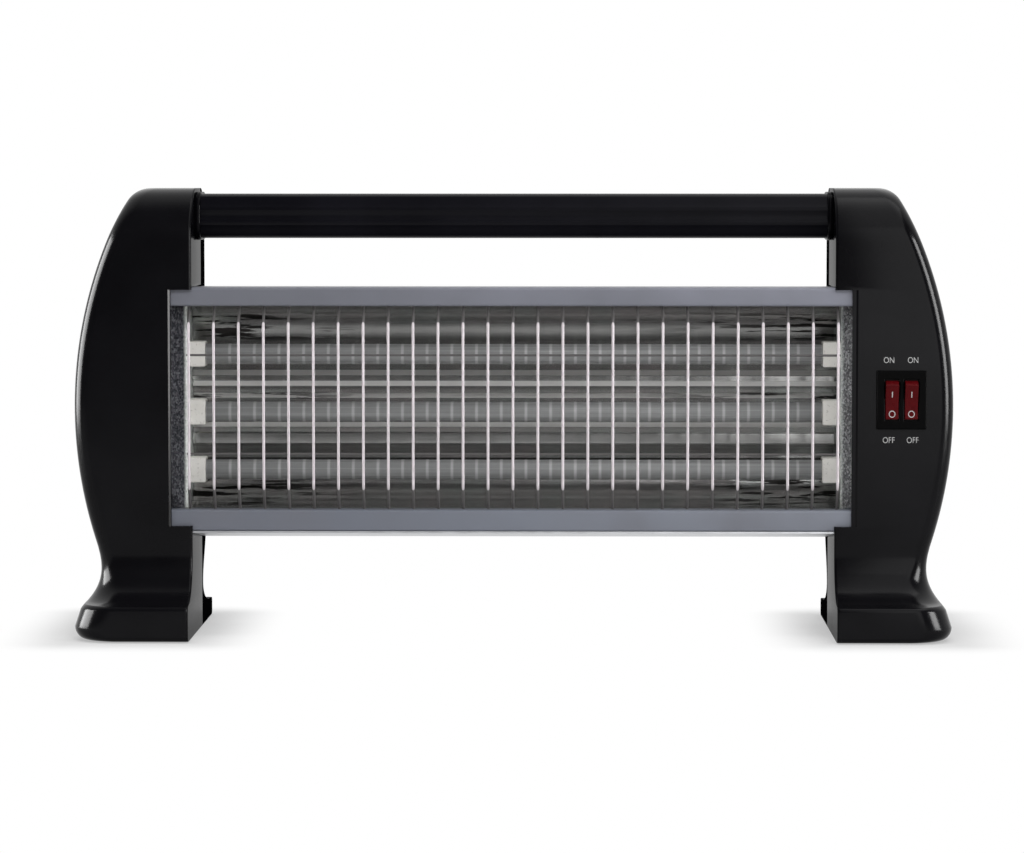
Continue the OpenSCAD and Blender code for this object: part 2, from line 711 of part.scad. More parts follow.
// Ceramic holders: a square block through the end plate, a collar outside it and a bored seat
module tube_holder(z) {
    difference() {
        union() {
            translate([holder_in_x, tube_y - holder_side/2, z - holder_side/2])
                cube([holder_out_x - holder_in_x, holder_side, holder_side]);
            translate([plate_x + sheet_t, tube_y - holder_side/2 - collar_t, z - holder_side/2 - collar_t])
                cube([collar_t, holder_side + 2*collar_t, holder_side + 2*collar_t]);
        }
        along_x([holder_in_x - cut, tube_y, z], tube_d + slack, tube_seat + slack + cut);
        along_x([holder_in_x, tube_y, z], pin_d, holder_out_x - holder_in_x + cut);
    }
}
module left_tube_holders() {
    color([0.93, 0.92, 0.88]) mirrored(true) for (z = tube_zs) tube_holder(z);
}
module right_tube_holders() {
    color([0.93, 0.92, 0.88]) for (z = tube_zs) tube_holder(z);
}

// Terminal pins that reach from the coil's end out of the ceramic, each with its nut
module terminals() {
    for (z = tube_zs) {
        along_x([coil_half, tube_y, z], pin_d, pin_out_x - coil_half);
        translate([holder_out_x, tube_y, z]) rotate([0, 90, 0]) cylinder(d = nut_d, h = nut_t, $fn = 6);
    }
}
module left_terminals() {
    color([0.75, 0.7, 0.5]) mirrored(true) terminals();
}
module right_terminals() {
    color([0.75, 0.7, 0.5]) terminals();
}

// Double rocker switch: bezel and body in one, with a well for each rocker
module switch_frame() {
    color([0.03, 0.03, 0.03]) difference() {
        union() {
            translate([switch_x, front_y, switch_z]) rotate([90, 0, 0]) linear_extrude(bezel_t)
                square([bezel_w, bezel_h], center = true);
            translate([switch_x - body_w/2, front_y - bezel_t, switch_z - body_h/2])
                cube([body_w, switch_rear_y - front_y + bezel_t, body_h]);
        }
        for (x = rocker_xs()) {
            translate([x - cavity_w/2, front_y - bezel_t - cut, switch_z - cavity_h/2])
                cube([cavity_w, pivot_y - front_y + bezel_t + cavity_depth + cut, cavity_h]);
            along_x([x - cavity_w/2 - pivot_reach - slack, pivot_y, switch_z],
                    rocker_pin_d + 2*pivot_slack, cavity_w + 2*pivot_reach + 2*slack);
        }
    }
}
function rocker_xs() = [switch_x - rocker_pitch/2, switch_x + rocker_pitch/2];
// A rocker in its off place: two flats that meet in a shallow valley, round ends and two pins
module rocker(x) {
    rise = valley_h + rocker_r*tan(rocker_travel/2);
    translate([x, pivot_y, switch_z]) rotate([rocker_travel/2, 0, 0]) {
        intersection() {
            along_x([-rocker_w/2, 0, 0], 2*rocker_r, rocker_w);
            rotate([90, 0, 90]) translate([0, 0, -rocker_w/2]) linear_extrude(rocker_w) polygon([
                [rocker_base, -rocker_r], [rocker_base, rocker_r], [-rise, rocker_r],
                [-valley_h, 0], [-rise, -rocker_r]
            ]);
        }
        along_x([-cavity_w/2 - pivot_reach, 0, 0], rocker_pin_d, cavity_w + 2*pivot_reach);
    }
}
module left_rocker() {
    color([0.7, 0.08, 0.08]) rocker(rocker_xs()[0]);
}
module right_rocker() {
    color([0.7, 0.08, 0.08]) rocker(rocker_xs()[1]);
}
tab_size = [0.8, tab_l, 6.3];
tab_y = switch_rear_y + tab_l;
branch_y = tab_y + 3;
module switch_tabs() {
    color([0.8, 0.75, 0.55]) for (x = rocker_xs(), side = [-1, 1])
        translate([x - tab_size[0]/2, switch_rear_y, switch_z + side*tab_rise - tab_size[2]/2]) cube(tab_size);
}

module terminal_block() {
    color([0.9, 0.9, 0.86]) difference() {
        translate([block_x, wall_rear_y - block_size[1], block_z]) cube(block_size);
        for (x = block_screw_xs()) translate([x, wall_rear_y - block_size[1]/2, block_z + block_size[2]/2])
            cylinder(d = 4, h = block_size[2]);
    }
}
function block_screw_xs() = [block_x + block_size[0]/4, block_x + block_size[0]*3/4];

module cord_inlet_bush() {
    color([0.05, 0.05, 0.05]) difference() {
        union() {
            along_y([inlet_x, rear_y, inlet_z], inlet_flange_d, inlet_flange_t);
            along_y([inlet_x, wall_rear_y - slack, inlet_z], inlet_hole_d, panel_wall + 2*slack);
            along_y([inlet_x, wall_rear_y - inlet_flange_t, inlet_z], inlet_flange_d - 2, inlet_flange_t);
        }
        along_y([inlet_x, wall_rear_y - inlet_flange_t - cut, inlet_z], inlet_bore_d,
                panel_wall + 2*inlet_flange_t + 2*cut);
    }
}

// Tip-over switch on the inner wall of the right leg: a weight that hangs from a pin in its case
module tip_switch_case() {
    color([0.2, 0.2, 0.22]) {
        difference() {
            translate([tip_x, tip_y - tip_w/2, tip_low_z]) cube([tip_depth, tip_w, tip_h]);
            translate([tip_x + tip_wall, tip_y - tip_w/2 + tip_wall, tip_low_z + tip_wall])
                cube([tip_depth, tip_w - 2*tip_wall, tip_h - 2*tip_wall]);
        }
        along_x([tip_x + tip_wall/2, tip_y, tip_pivot_z], tip_pin_d, tip_depth - tip_wall/2);
    }
}
module tip_switch_cover() {
    color([0.25, 0.25, 0.28])
        translate([tip_x + tip_depth, tip_y - tip_w/2, tip_low_z]) cube([tip_wall, tip_w, tip_h]);
}
module tip_switch_weight() {
    thick = tip_depth - tip_wall - 3;
    color([0.6, 0.55, 0.4]) translate([tip_x + tip_wall + 1.5, tip_y, tip_pivot_z]) difference() {
        union() {
            along_x([0, 0, -tip_arm], tip_weight_d, thick);
            along_x([thick/4, 0, 0], tip_eye_d, thick/2);
            translate([thick/4, -tip_pin_d/2, -tip_arm]) cube([thick/2, tip_pin_d, tip_arm]);
        }
        along_x([-cut, 0, 0], tip_pin_d + 2*tip_slack, thick + 2*cut);
    }
}

// Leads from the switch to the tubes; the second pole feeds the middle and the lower tube
module switch_leads() {
    high = switch_z + tab_rise;
    xs = rocker_xs();
    color([0.75, 0.1, 0.1]) {
        wire_run([[xs[0], tab_y, high], [xs[0], tab_y + 5, high], [lead_x, tab_y + 5, tube_zs[0]],
                  [lead_x, tube_y, tube_zs[0]], [pin_out_x, tube_y, tube_zs[0]]], lead_d);
        wire_run([[xs[1], tab_y, high], [xs[1], tab_y + 9, high], [lead_x, tab_y + 9, tube_zs[1]],
                  [lead_x, tube_y, tube_zs[1]], [pin_out_x, tube_y, tube_zs[1]]], lead_d);
        wire_run([[lead_x, branch_y, tube_zs[1]], [lead_x, branch_y, tube_zs[2]],
                  [lead_x, tube_y, tube_zs[2]], [pin_out_x, tube_y, tube_zs[2]]], lead_d);
        translate([lead_x, branch_y, tube_zs[1]]) sphere(d = lead_d);
    }
}
// Lead from the terminal block to the switch, with a jumper between the switch's two poles
module supply_leads() {
    low = switch_z - tab_rise;
    xs = rocker_xs();
    block_y = wall_rear_y - block_size[1];
    middle = block_z + block_size[2]/2;
    ends = block_screw_xs();
    color([0.15, 0.2, 0.6]) {
        along_y([xs[0], tab_y, low], splice_d, splice_l);
        wire_run([[xs[0], tab_y + splice_l, low], [xs[0], parting_y - 2, low],
                  [ends[0] - 2, block_y - 6, middle + 1], [ends[0], block_y - lead_seat, middle]], lead_d);
        wire_run([[xs[1], tab_y, low], [xs[1], tab_y + 4, low], [xs[0], tab_y + 4, low]], lead_d);
    }
}
// Lead from the block through the end plates, behind the reflector, to the tubes' left ends, with
// the two branches soldered to it side by side
module return_leads() {
    block_y = wall_rear_y - block_size[1];
    middle = block_z + block_size[2]/2;
    end_x = block_screw_xs()[1];
    color([0.15, 0.2, 0.6]) {
        wire_run([[end_x, block_y - lead_seat, middle], [end_x - 2, block_y - 7, middle + 6],
                  [lead_x - 6, lead_hole_y, lead_hole_z],
                  [-lead_x, lead_hole_y, lead_hole_z], [-lead_x, branch_y + joint_reach, lead_hole_z]], lead_d);
        wire_run([[-pin_out_x, tube_y, tube_zs[0]], [-lead_x, tube_y, tube_zs[0]],
                  [-lead_x, branch_y, tube_zs[0]], [-lead_x, branch_y, tube_zs[2]],
                  [-lead_x, tube_y, tube_zs[2]], [-pin_out_x, tube_y, tube_zs[2]]], lead_d);
        wire_run([[-lead_x, branch_y - joint_reach, tube_zs[1]], [-lead_x, tube_y, tube_zs[1]],
                  [-pin_out_x, tube_y, tube_zs[1]]], lead_d);
    }
}

module panel_screws() {
    color([0.7, 0.7, 0.72]) for (left = [true, false], p = panel_screws_xz) mirrored(left) {
        along_y([p[0], parting_y - pilot_depth + cut, p[1]], screw_d - slack/2, screw_seat_y - parting_y + pilot_depth);
        along_y([p[0], screw_seat_y, p[1]], head_d, head_t);
    }
}
module handle_screws() {
    shank = plug_l - 2;
    color([0.7, 0.7, 0.72]) for (left = [true, false], y = handle_screw_ys) mirrored(left) {
        along_x([inner_x - shank, y, handle_z], screw_d - slack/2, shank + panel_wall + cut);
        along_x([inner_x + panel_wall, y, handle_z], head_d, head_t);
    }
}
module housing_screws() {
    color([0.7, 0.7, 0.72]) for (left = [true, false], z = housing_screw_zs) mirrored(left) {
        along_y([housing_screw_x, housing_rear_y - housing_screw_l, z], screw_d - slack/2,
                housing_screw_l + cut);
        along_y([housing_screw_x, housing_rear_y, z], head_d, head_t);
    }
}

left_front_panel();
left_rear_panel();
right_front_panel();
right_rear_panel();
foot_pads();
handle_bar();
handle_end_caps();
housing_shell();
top_rail();
bottom_rail();
left_end_plate();
right_end_plate();
reflector();
wire_guard();
upper_quartz_tube();
middle_quartz_tube();
lower_quartz_tube();
upper_heating_coil();
middle_heating_coil();
lower_heating_coil();
left_tube_holders();
right_tube_holders();
left_terminals();
right_terminals();
switch_frame();
switch_tabs();
left_rocker();
right_rocker();
terminal_block();
cord_inlet_bush();
tip_switch_case();
tip_switch_cover();
tip_switch_weight();
switch_leads();
supply_leads();
return_leads();
panel_screws();
handle_screws();
housing_screws();
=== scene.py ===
import math
import bpy
import bmesh
import numpy as np
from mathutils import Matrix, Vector


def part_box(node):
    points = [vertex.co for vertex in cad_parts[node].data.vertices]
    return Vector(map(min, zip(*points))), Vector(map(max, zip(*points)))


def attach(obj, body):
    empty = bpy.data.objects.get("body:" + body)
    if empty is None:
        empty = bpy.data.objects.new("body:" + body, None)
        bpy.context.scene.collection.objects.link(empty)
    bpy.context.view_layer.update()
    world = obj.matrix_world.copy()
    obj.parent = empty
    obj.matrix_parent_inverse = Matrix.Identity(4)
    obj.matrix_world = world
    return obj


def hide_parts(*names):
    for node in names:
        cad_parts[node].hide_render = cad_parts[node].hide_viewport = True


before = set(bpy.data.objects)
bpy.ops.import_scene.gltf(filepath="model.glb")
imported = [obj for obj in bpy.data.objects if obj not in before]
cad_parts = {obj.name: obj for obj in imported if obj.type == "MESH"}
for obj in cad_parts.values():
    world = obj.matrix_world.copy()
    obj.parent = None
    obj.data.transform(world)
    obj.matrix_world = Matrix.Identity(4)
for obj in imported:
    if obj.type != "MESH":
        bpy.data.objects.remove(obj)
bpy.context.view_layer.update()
mm = 0.001
fine = 0.000001  # welding distance of small pieces, in metres
root = "heater"
print("frame loaded")


# shader writing: a socket that takes Python's operators
class Signal:
    def __init__(self, graph, socket):
        self.graph = graph
        self.socket = socket

    def maths(self, operation, *others):
        return self.graph.node("Math", {"operation": operation}, [self, *others])

    def __add__(self, other):
        return self.maths("ADD", other)

    def __mul__(self, other):
        return self.maths("MULTIPLY", other)

    __radd__ = __add__
    __rmul__ = __mul__

    def __sub__(self, other):
        return self.maths("SUBTRACT", other)

    def __rsub__(self, other):
        return self.graph.node("Math", {"operation": "SUBTRACT"}, [other, self])

    def __pow__(self, other):
        return self.maths("POWER", other)

    def __abs__(self):
        return self.maths("ABSOLUTE")

    def between(self, low, high, first=0.0, last=1.0):
        # first below low, last above high, smooth in between
        smooth = {"interpolation_type": "SMOOTHSTEP"}
        return self.graph.node("MapRange", smooth, [self, low, high, first, last])


class Graph:
    # a node tree; every node comes from one method
    def __init__(self, tree):
        self.tree = tree

    def node(self, kind, settings=None, inputs=None, output=0):
        made = self.tree.nodes.new("ShaderNode" + kind)
        for key, value in (settings or {}).items():
            setattr(made, key, value)
        pairs = inputs.items() if isinstance(inputs, dict) else enumerate(inputs or [])
        for key, value in pairs:
            self.fill(made.inputs[key], value)
        return Signal(self, made.outputs[output])

    def fill(self, socket, value):
        # a link from a signal, or else a plain value; a colour gets its alpha
        if isinstance(value, Signal):
            self.tree.links.new(value.socket, socket)
        else:
            socket.default_value = (*value, 1.0) if socket.type == "RGBA" else value

    def mix(self, share, first, second, end):
        # the end node shows first, and second over the given share
        both = self.node("MixShader", {}, [share, first, second])
        self.fill(self.tree.nodes[end].inputs["Surface"], both)


class Finish(Graph):
    # a Principled material that reads Object coordinates
    def __init__(self, name, **sockets):
        self.material = bpy.data.materials.new(name)
        self.material.use_nodes = True
        super().__init__(self.material.node_tree)
        self.shader = self.tree.nodes["Principled BSDF"]
        self.place = self.node("TexCoord", output="Object")
        self.set(**sockets)

    def set(self, **sockets):
        for key, value in sockets.items():
            self.fill(self.shader.inputs[key.replace("_", " ")], value)

    def mixIn(self, share, other):
        self.mix(share, Signal(self, self.shader.outputs[0]), other, "Material Output")

    def noise(self, scale, detail=2.0, roughness=0.5, place=None):
        return self.node("TexNoise", {}, {"Vector": place or self.place, "Scale": scale,
                                          "Detail": detail, "Roughness": roughness})

    def drawnNoise(self, scales, detail, roughness):
        # noise with its own scale along X, Y and Z
        place = self.node("Mapping", {}, {"Vector": self.place, "Scale": scales})
        return self.noise(1.0, detail, roughness, place)

    def axis(self, name):
        return self.node("SeparateXYZ", {}, [self.place], name)

    def blend(self, factor, first, second):
        return self.node("Mix", {"data_type": "RGBA"}, {0: factor, 6: first, 7: second}, 2)

    def bump(self, height, strength, distance, under=None):
        inputs = {"Strength": strength, "Distance": distance, "Height": height}
        if under:
            inputs["Normal"] = under
        return self.node("Bump", {}, inputs)


# finishes; the quartz and the wire follow the guard's pitch and depth
guard = {
    "count": 27, "pitch": 13.36, "wire": 0.76, "levelWire": 0.6, "bend": 7.0, "bendHeight": 10.0,
    "bendLow": 12.5, "bendR": 4.0, "turnIn": 1.0, "cross": 53.0, "lift": 1.9, "bite": 0.2,
    "sides": 14,
}


def mouldedBlack(name, colour, gloss, grain, sheen, innerWall=0.0):
    # black moulding: faint cloudy tone, slight shrink waves and a fine spark-eroded grain;
    # the walls that face each other across the heater are duller by the share innerWall
    f = Finish(name, Specular_IOR_Level=sheen)
    cloud = f.noise(22.0, 3.0)
    paler = tuple(c*1.45 + 0.0008 for c in colour)
    f.set(Base_Color=f.blend(cloud.between(0.3, 0.7), colour, paler))
    f.set(Roughness=gloss + f.noise(60.0, 4.0)*0.07 + f.noise(900.0, 2.0)*0.05)
    waves = f.bump(f.noise(9.0, 1.0), 0.25, 0.0006)
    f.set(Normal=f.bump(f.noise(grain, 2.0), 0.06, 0.0002, waves))
    if innerWall:
        dull = f.node("BsdfPrincipled", {}, {"Base Color": colour, "Specular IOR Level": 0.0,
                                             "Roughness": 0.85 + f.noise(900.0, 2.0)*0.1})
        share = (1.0 - abs(f.axis("X")).between(0.1724, 0.1730))*innerWall
        f.mixIn(share, dull)
    return f.material


def paintedGrey():
    # baked grey paint with a fine orange peel; its tone is painted lighter from the left end of the
    # rails to the right end, a painted shade of the light that falls from the right, and is a
    # little different on the upper and the lower one
    f = Finish("greyBakedPaint", Specular_IOR_Level=0.4)
    # painted shade: the rails are coloured darker at the left end and lighter at the right end
    along = f.axis("X").between(-0.19, 0.19)
    upper = f.blend(along, (0.148, 0.153, 0.181), (0.200, 0.206, 0.248))
    lower = f.blend(along, (0.128, 0.140, 0.172), (0.190, 0.206, 0.246))
    tone = f.blend(f.axis("Z").between(0.1, 0.12), lower, upper)
    f.set(Base_Color=f.blend(f.noise(14.0, 3.0).between(0.35, 0.75), tone, (0.138, 0.143, 0.168)))
    f.set(Roughness=0.34 + f.noise(240.0, 2.0)*0.12)
    f.set(Normal=f.bump(f.noise(620.0, 2.0), 0.12, 0.0002))
    return f.material


def zincSpangle():
    # galvanised sheet: flat grey spangles of different tone and gloss with dark pits; the front
    # flange is painted dark as painted shade, far darker on the left plate than on the right, and
    # what lies behind it keeps a pale zinc tone
    f = Finish("zincSpangle", Metallic=1.0)
    patch = f.node("TexVoronoi", {}, {"Vector": f.place, "Scale": 950.0}, "Color")
    tone = f.node("SeparateColor", {}, [patch], "Red")
    pits = f.noise(1500.0, 3.0, 0.7).between(0.52, 0.72)
    # painted shade on the front flange: very dark on the left plate, less dark on the right one
    left = f.blend(tone**2.0, (0.010, 0.010, 0.013), (0.095, 0.096, 0.105))
    right = f.blend(tone**2.0, (0.080, 0.080, 0.086), (0.420, 0.422, 0.432))
    front = f.blend(f.axis("X").between(-0.01, 0.01), left, right)
    inside = f.blend(tone, (0.50, 0.52, 0.50), (0.66, 0.68, 0.66))
    base = f.blend(f.axis("Y").between(-0.0255, -0.0225), front, inside)
    f.set(Base_Color=f.blend(pits, base, (0.03, 0.03, 0.035)))
    f.set(Roughness=0.34 + tone*0.25)
    f.set(Normal=f.bump(f.noise(700.0, 3.0), 0.25, 0.0003))
    return f.material


def brightSheet(name, colour, rough, dents):
    # rolled bright sheet: long rolling marks, shallow oil-can waves and fine scratches
    f = Finish(name, Metallic=1.0)
    rolled = f.drawnNoise((9.0, 900.0, 900.0), 3.0, 0.6)
    f.set(Base_Color=f.blend(rolled, tuple(c*0.82 for c in colour), colour))
    f.set(Roughness=rough + rolled*0.12)
    waves = f.bump(f.drawnNoise((42.0, 16.0, 16.0), 2.0, 0.5), dents, 0.003)
    f.set(Normal=f.bump(rolled, 0.1, 0.0003, waves))
    return f.material


def creasedMirror():
    # bright trough: rolling marks along it, painted highlights along the fold lines of the ribs,
    # flats painted darker as painted shade, one dark line, and dark creases in three bands that
    # thicken towards the ends, painted as dark reflections of the crinkles
    f = Finish("creasedMirror")
    z = f.axis("Z")

    def strips(*rows):
        # 1 within half of each height, soft at its edges
        return sum(1.0 - abs(z - height).between(half*0.6, half) for height, half in rows)

    rolled = f.drawnNoise((7.0, 900.0, 900.0), 3.0, 0.6)
    streaks = f.drawnNoise((3.0, 330.0, 330.0), 2.0, 0.5).between(0.35, 0.65)
    tint = f.noise(26.0, 1.0).between(0.40, 0.60)
    pale = f.blend(tint, (0.53, 0.505, 0.505), (0.49, 0.515, 0.50))
    sheen = f.blend(rolled*0.5 + streaks*0.5, (0.30, 0.295, 0.29), pale)
    # painted shade: the flats at these heights are coloured darker
    flats = strips((0.1350, 0.0040), (0.1035, 0.0045), (0.1622, 0.0060))
    sheen = f.blend(flats, sheen, (0.25, 0.25, 0.245))
    # painted highlights: the fold lines get a pale colour and less metal so that they read bright
    paintedFoldHighlights = strips((0.1402, 0.0017), (0.1344, 0.0017), (0.1276, 0.0016), (0.1116, 0.0015))
    sheen = f.blend(paintedFoldHighlights, sheen, f.blend(rolled, (0.52, 0.52, 0.51), (0.66, 0.65, 0.64)))
    ends = abs(f.axis("X")).between(0.055, 0.150)
    # painted reflections: the dark creases stand for dark reflections of the crinkled sheet
    bands = strips((0.1655, 0.0095), (0.1275, 0.0024), (0.0760, 0.0100))
    paintedCreaseShade = f.drawnNoise((30.0, 360.0, 360.0), 4.0, 0.65).between(0.50, 0.56)
    marks = paintedCreaseShade*bands*(ends*0.9 + 0.1) + strips((0.0925, 0.0011))*0.85
    f.set(Base_Color=f.blend(marks, sheen, (0.012, 0.011, 0.010)))
    f.set(Metallic=0.8 - paintedFoldHighlights*0.6, Roughness=0.14 + rolled*0.12 + paintedFoldHighlights*0.25)
    waves = f.bump(f.drawnNoise((42.0, 16.0, 16.0), 2.0, 0.5)*(ends*0.8 + 0.1), 0.35, 0.003)
    f.set(Normal=f.bump(rolled, 0.1, 0.0003, waves))
    return f.material


def chromeWire():
    # chrome on the upright wires; their bent ends and the level wires behind are painted dark, a
    # painted shade
    f = Finish("chromeWire", Metallic=0.2, Specular_IOR_Level=0.2)
    bright = f.blend(f.noise(300.0, 2.0), (0.47, 0.43, 0.45), (0.58, 0.535, 0.56))
    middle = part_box("wire_guard")[0][1] + guard["wire"]*mm
    # painted shade: all wire behind the front of the upright wires is coloured dark
    behind = f.axis("Y").between(middle + 0.00015, middle + 0.0004)
    f.set(Base_Color=f.blend(behind, bright, (0.10, 0.095, 0.095)))
    f.set(Roughness=0.44 + f.noise(500.0, 3.0)*0.12)
    f.set(Normal=f.bump(f.noise(1200.0, 2.0), 0.08, 0.0001))
    return f.material


def milkyQuartz():
    # frosted quartz: mostly scattering, partly clear, with fine drawing lines along the tube and a
    # paler ring half a pitch from each of the guard's wires, a painted highlight for the wires'
    # glints on the tube
    f = Finish("milkyQuartz", IOR=1.46, Specular_IOR_Level=0.5)
    lines = f.drawnNoise((3.0, 700.0, 700.0), 3.0, 0.6)
    pitch = guard["pitch"]*mm
    # the distance from the nearest painted ring, with X moved by whole pitches so that it is
    # positive
    across = (f.axis("X") + 50*pitch + pitch/2).maths("PINGPONG", pitch/2)
    # painted highlight: a pale ring stands for the glint of the guard's wires on the tube
    paintedGlint = 1.0 - across.between(0.0003, 0.0012)
    glass = f.blend(lines, (0.24, 0.245, 0.245), (0.33, 0.335, 0.335))
    f.set(Base_Color=f.blend(paintedGlint*0.38, glass, (0.80, 0.80, 0.80)))
    f.set(Roughness=0.22 + lines*0.1)
    f.set(Alpha=0.62 + lines*0.22)
    f.set(Normal=f.bump(lines, 0.08, 0.0002))
    return f.material


def firedCeramic():
    # unglazed steatite: warm white, speckled, sandy to the touch
    f = Finish("firedCeramic", Specular_IOR_Level=0.3)
    specks = f.noise(900.0, 3.0, 0.7).between(0.58, 0.74)
    base = f.blend(f.noise(80.0, 3.0), (0.66, 0.64, 0.60), (0.80, 0.785, 0.75))
    f.set(Base_Color=f.blend(specks, base, (0.42, 0.40, 0.37)))
    f.set(Roughness=0.72 + f.noise(300.0, 2.0)*0.15)
    f.set(Normal=f.bump(f.noise(700.0, 4.0), 0.2, 0.0003))
    return f.material


def redRocker():
    # translucent red moulding over a dark inside
    f = Finish("redRocker", Specular_IOR_Level=0.05, Coat_Roughness=0.12)
    tone = f.noise(260.0, 3.0)
    f.set(Base_Color=f.blend(tone, (0.058, 0.0018, 0.0030), (0.085, 0.0030, 0.0045)))
    f.set(Roughness=0.24 + f.noise(500.0, 2.0)*0.08, Coat_Weight=0.005 + tone*0.02)
    f.set(Normal=f.bump(f.noise(900.0, 2.0), 0.05, 0.0001))
    return f.material


def printedWhite():
    # matt printing ink, a little uneven
    f = Finish("printedWhite", Specular_IOR_Level=0.3)
    f.set(Base_Color=f.blend(f.noise(2500.0, 3.0), (0.42, 0.42, 0.42), (0.54, 0.54, 0.54)))
    f.set(Roughness=0.5 + f.noise(1500.0, 2.0)*0.15)
    return f.material


def plainMetal(name, dark, light, rough):
    # small turned or drawn metal parts with fine tool lines
    f = Finish(name, Metallic=1.0)
    lines = f.noise(1600.0, 3.0, 0.6)
    f.set(Base_Color=f.blend(lines, dark, light))
    f.set(Roughness=rough + lines*0.15)
    f.set(Normal=f.bump(lines, 0.12, 0.0001))
    return f.material


def plainPlastic(name, dark, light, rough, sheen=0.4):
    # moulded or extruded plastic and rubber with a fine grain
    f = Finish(name, Specular_IOR_Level=sheen)
    f.set(Base_Color=f.blend(f.noise(120.0, 3.0), dark, light))
    f.set(Roughness=rough + f.noise(400.0, 2.0)*0.12)
    f.set(Normal=f.bump(f.noise(1100.0, 2.0), 0.1, 0.0002))
    return f.material


finishes = {
    "frontPlastic": mouldedBlack("glossBlackMoulding", (0.0022, 0.0021, 0.0028),
                                 0.12, 1800.0, 0.10, 0.55),
    "rearPlastic": mouldedBlack("satinBlackMoulding", (0.0022, 0.0022, 0.0025),
                                0.55, 1500.0, 0.05, 1.0),
    "handlePlastic": mouldedBlack("handleMoulding", (0.0018, 0.0017, 0.0032), 0.26, 1600.0, 0.09),
    "rubber": plainPlastic("padRubber", (0.012, 0.012, 0.012), (0.02, 0.02, 0.02), 0.7),
    "railPaint": paintedGrey(),
    "zinc": zincSpangle(),
    "housingSheet": brightSheet("housingSheet", (0.56, 0.57, 0.59), 0.34, 0.30),
    "reflectorSheet": creasedMirror(),
    "wire": chromeWire(),
    "quartz": milkyQuartz(),
    "ceramic": firedCeramic(),
    "coilWire": plainMetal("resistanceWire", (0.20, 0.18, 0.17), (0.34, 0.32, 0.30), 0.4),
    "terminal": plainMetal("terminalSteel", (0.45, 0.44, 0.40), (0.66, 0.65, 0.60), 0.3),
    "screw": plainMetal("zincScrew", (0.42, 0.42, 0.44), (0.62, 0.62, 0.64), 0.28),
    "brass": plainMetal("brassPart", (0.50, 0.36, 0.14), (0.70, 0.52, 0.22), 0.3),
    "switchBlack": plainPlastic("switchBlack", (0.0008, 0.0008, 0.0009),
                                (0.0014, 0.0014, 0.0015), 0.3, 0.03),
    "red": redRocker(),
    "print": printedWhite(),
    "whitePlastic": plainPlastic("blockWhite", (0.62, 0.61, 0.56), (0.74, 0.73, 0.68), 0.4),
    "greyPlastic": plainPlastic("caseGrey", (0.02, 0.02, 0.022), (0.035, 0.035, 0.037), 0.45),
    "redSleeve": plainPlastic("redSleeve", (0.30, 0.02, 0.02), (0.42, 0.04, 0.03), 0.5),
    "blueSleeve": plainPlastic("blueSleeve", (0.02, 0.04, 0.22), (0.04, 0.07, 0.32), 0.5),
}
print("finishes made:", len(finishes))


# mesh helpers; lengths are in millimetres until the mesh is filled
def fillMesh(name, points, quads):
    # points (n, 3) in mm, quads (m, 4) of indices
    mesh = bpy.data.meshes.new(name)
    points = np.asarray(points, float).reshape(-1, 3)*mm
    quads = np.asarray(quads, int).reshape(-1, 4)
    mesh.vertices.add(len(points))
    mesh.vertices.foreach_set("co", points.ravel())
    mesh.loops.add(quads.size)
    mesh.loops.foreach_set("vertex_index", quads.ravel())
    mesh.polygons.add(len(quads))
    mesh.polygons.foreach_set("loop_start", np.arange(0, quads.size, 4))
    mesh.update(calc_edges=True)
    mesh.validate()
    return mesh


def weld(mesh, distance=0.00001):
    # joins doubled points, drops what that flattens and turns all faces outwards
    work = bmesh.new()
    work.from_mesh(mesh)
    bmesh.ops.remove_doubles(work, verts=work.verts, dist=distance)
    bmesh.ops.dissolve_degenerate(work, edges=work.edges, dist=distance/2)
    bmesh.ops.recalc_face_normals(work, faces=work.faces)
    work.to_mesh(mesh)
    work.free()
    return mesh


def gridQuads(rows, cols, start=0, closed=False):
    # quads between the points of a grid of rows x cols; closed joins the last column to the first
    across = np.arange(cols if closed else cols - 1)
    i, j = np.meshgrid(np.arange(rows - 1), across, indexing="ij")
    k = (j + 1) % cols
    quads = np.stack([i*cols + j, i*cols + k, (i + 1)*cols + k, (i + 1)*cols + j], -1)
    return quads.reshape(-1, 4) + start


def piece(name, meshes, finish, body=root, replaces=(), sharp=35.0, bevel=0.0):
    # one object from one or more meshes, with its finish and the body that it rides on
    work = bmesh.new()
    for mesh in meshes if isinstance(meshes, list) else [meshes]:
        work.from_mesh(mesh)
    whole = bpy.data.meshes.new(name)
    work.to_mesh(whole)
    work.free()
    thing = bpy.data.objects.new(name, whole)
    bpy.context.scene.collection.objects.link(thing)
    whole.materials.append(finishes[finish])
    whole.polygons.foreach_set("use_smooth", np.ones(len(whole.polygons), bool))
    whole.set_sharp_from_angle(angle=math.radians(sharp))
    if bevel:
        soften = thing.modifiers.new("edges", "BEVEL")
        soften.width = bevel*mm
        soften.segments = 3
        soften.limit_method = "ANGLE"
        soften.angle_limit = math.radians(sharp)
        soften.harden_normals = True
    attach(thing, body)
    if replaces:
        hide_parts(*replaces)
    return thing


def closedTube(name, rings):
    # rings of points joined round and along, with a flat face over the first and the last
    rings = np.asarray(rings, float)
    rows, count = rings.shape[:2]
    mesh = fillMesh(name, rings, gridQuads(rows, count, closed=True))
    work = bmesh.new()
    work.from_mesh(mesh)
    work.verts.ensure_lookup_table()
    for first in (0, (rows - 1)*count):
        work.faces.new([work.verts[first + i] for i in range(count)])
    bmesh.ops.recalc_face_normals(work, faces=work.faces)
    work.to_mesh(mesh)
    work.free()
    return mesh


def carried(profile, xs):
    # a profile of (y, z) points repeated at each place along X
    rings = np.empty((len(xs), len(profile), 3))
    rings[:, :, 0] = np.asarray(xs, float)[:, None]
    rings[:, :, 1:] = np.asarray(profile, float)[None]
    return rings


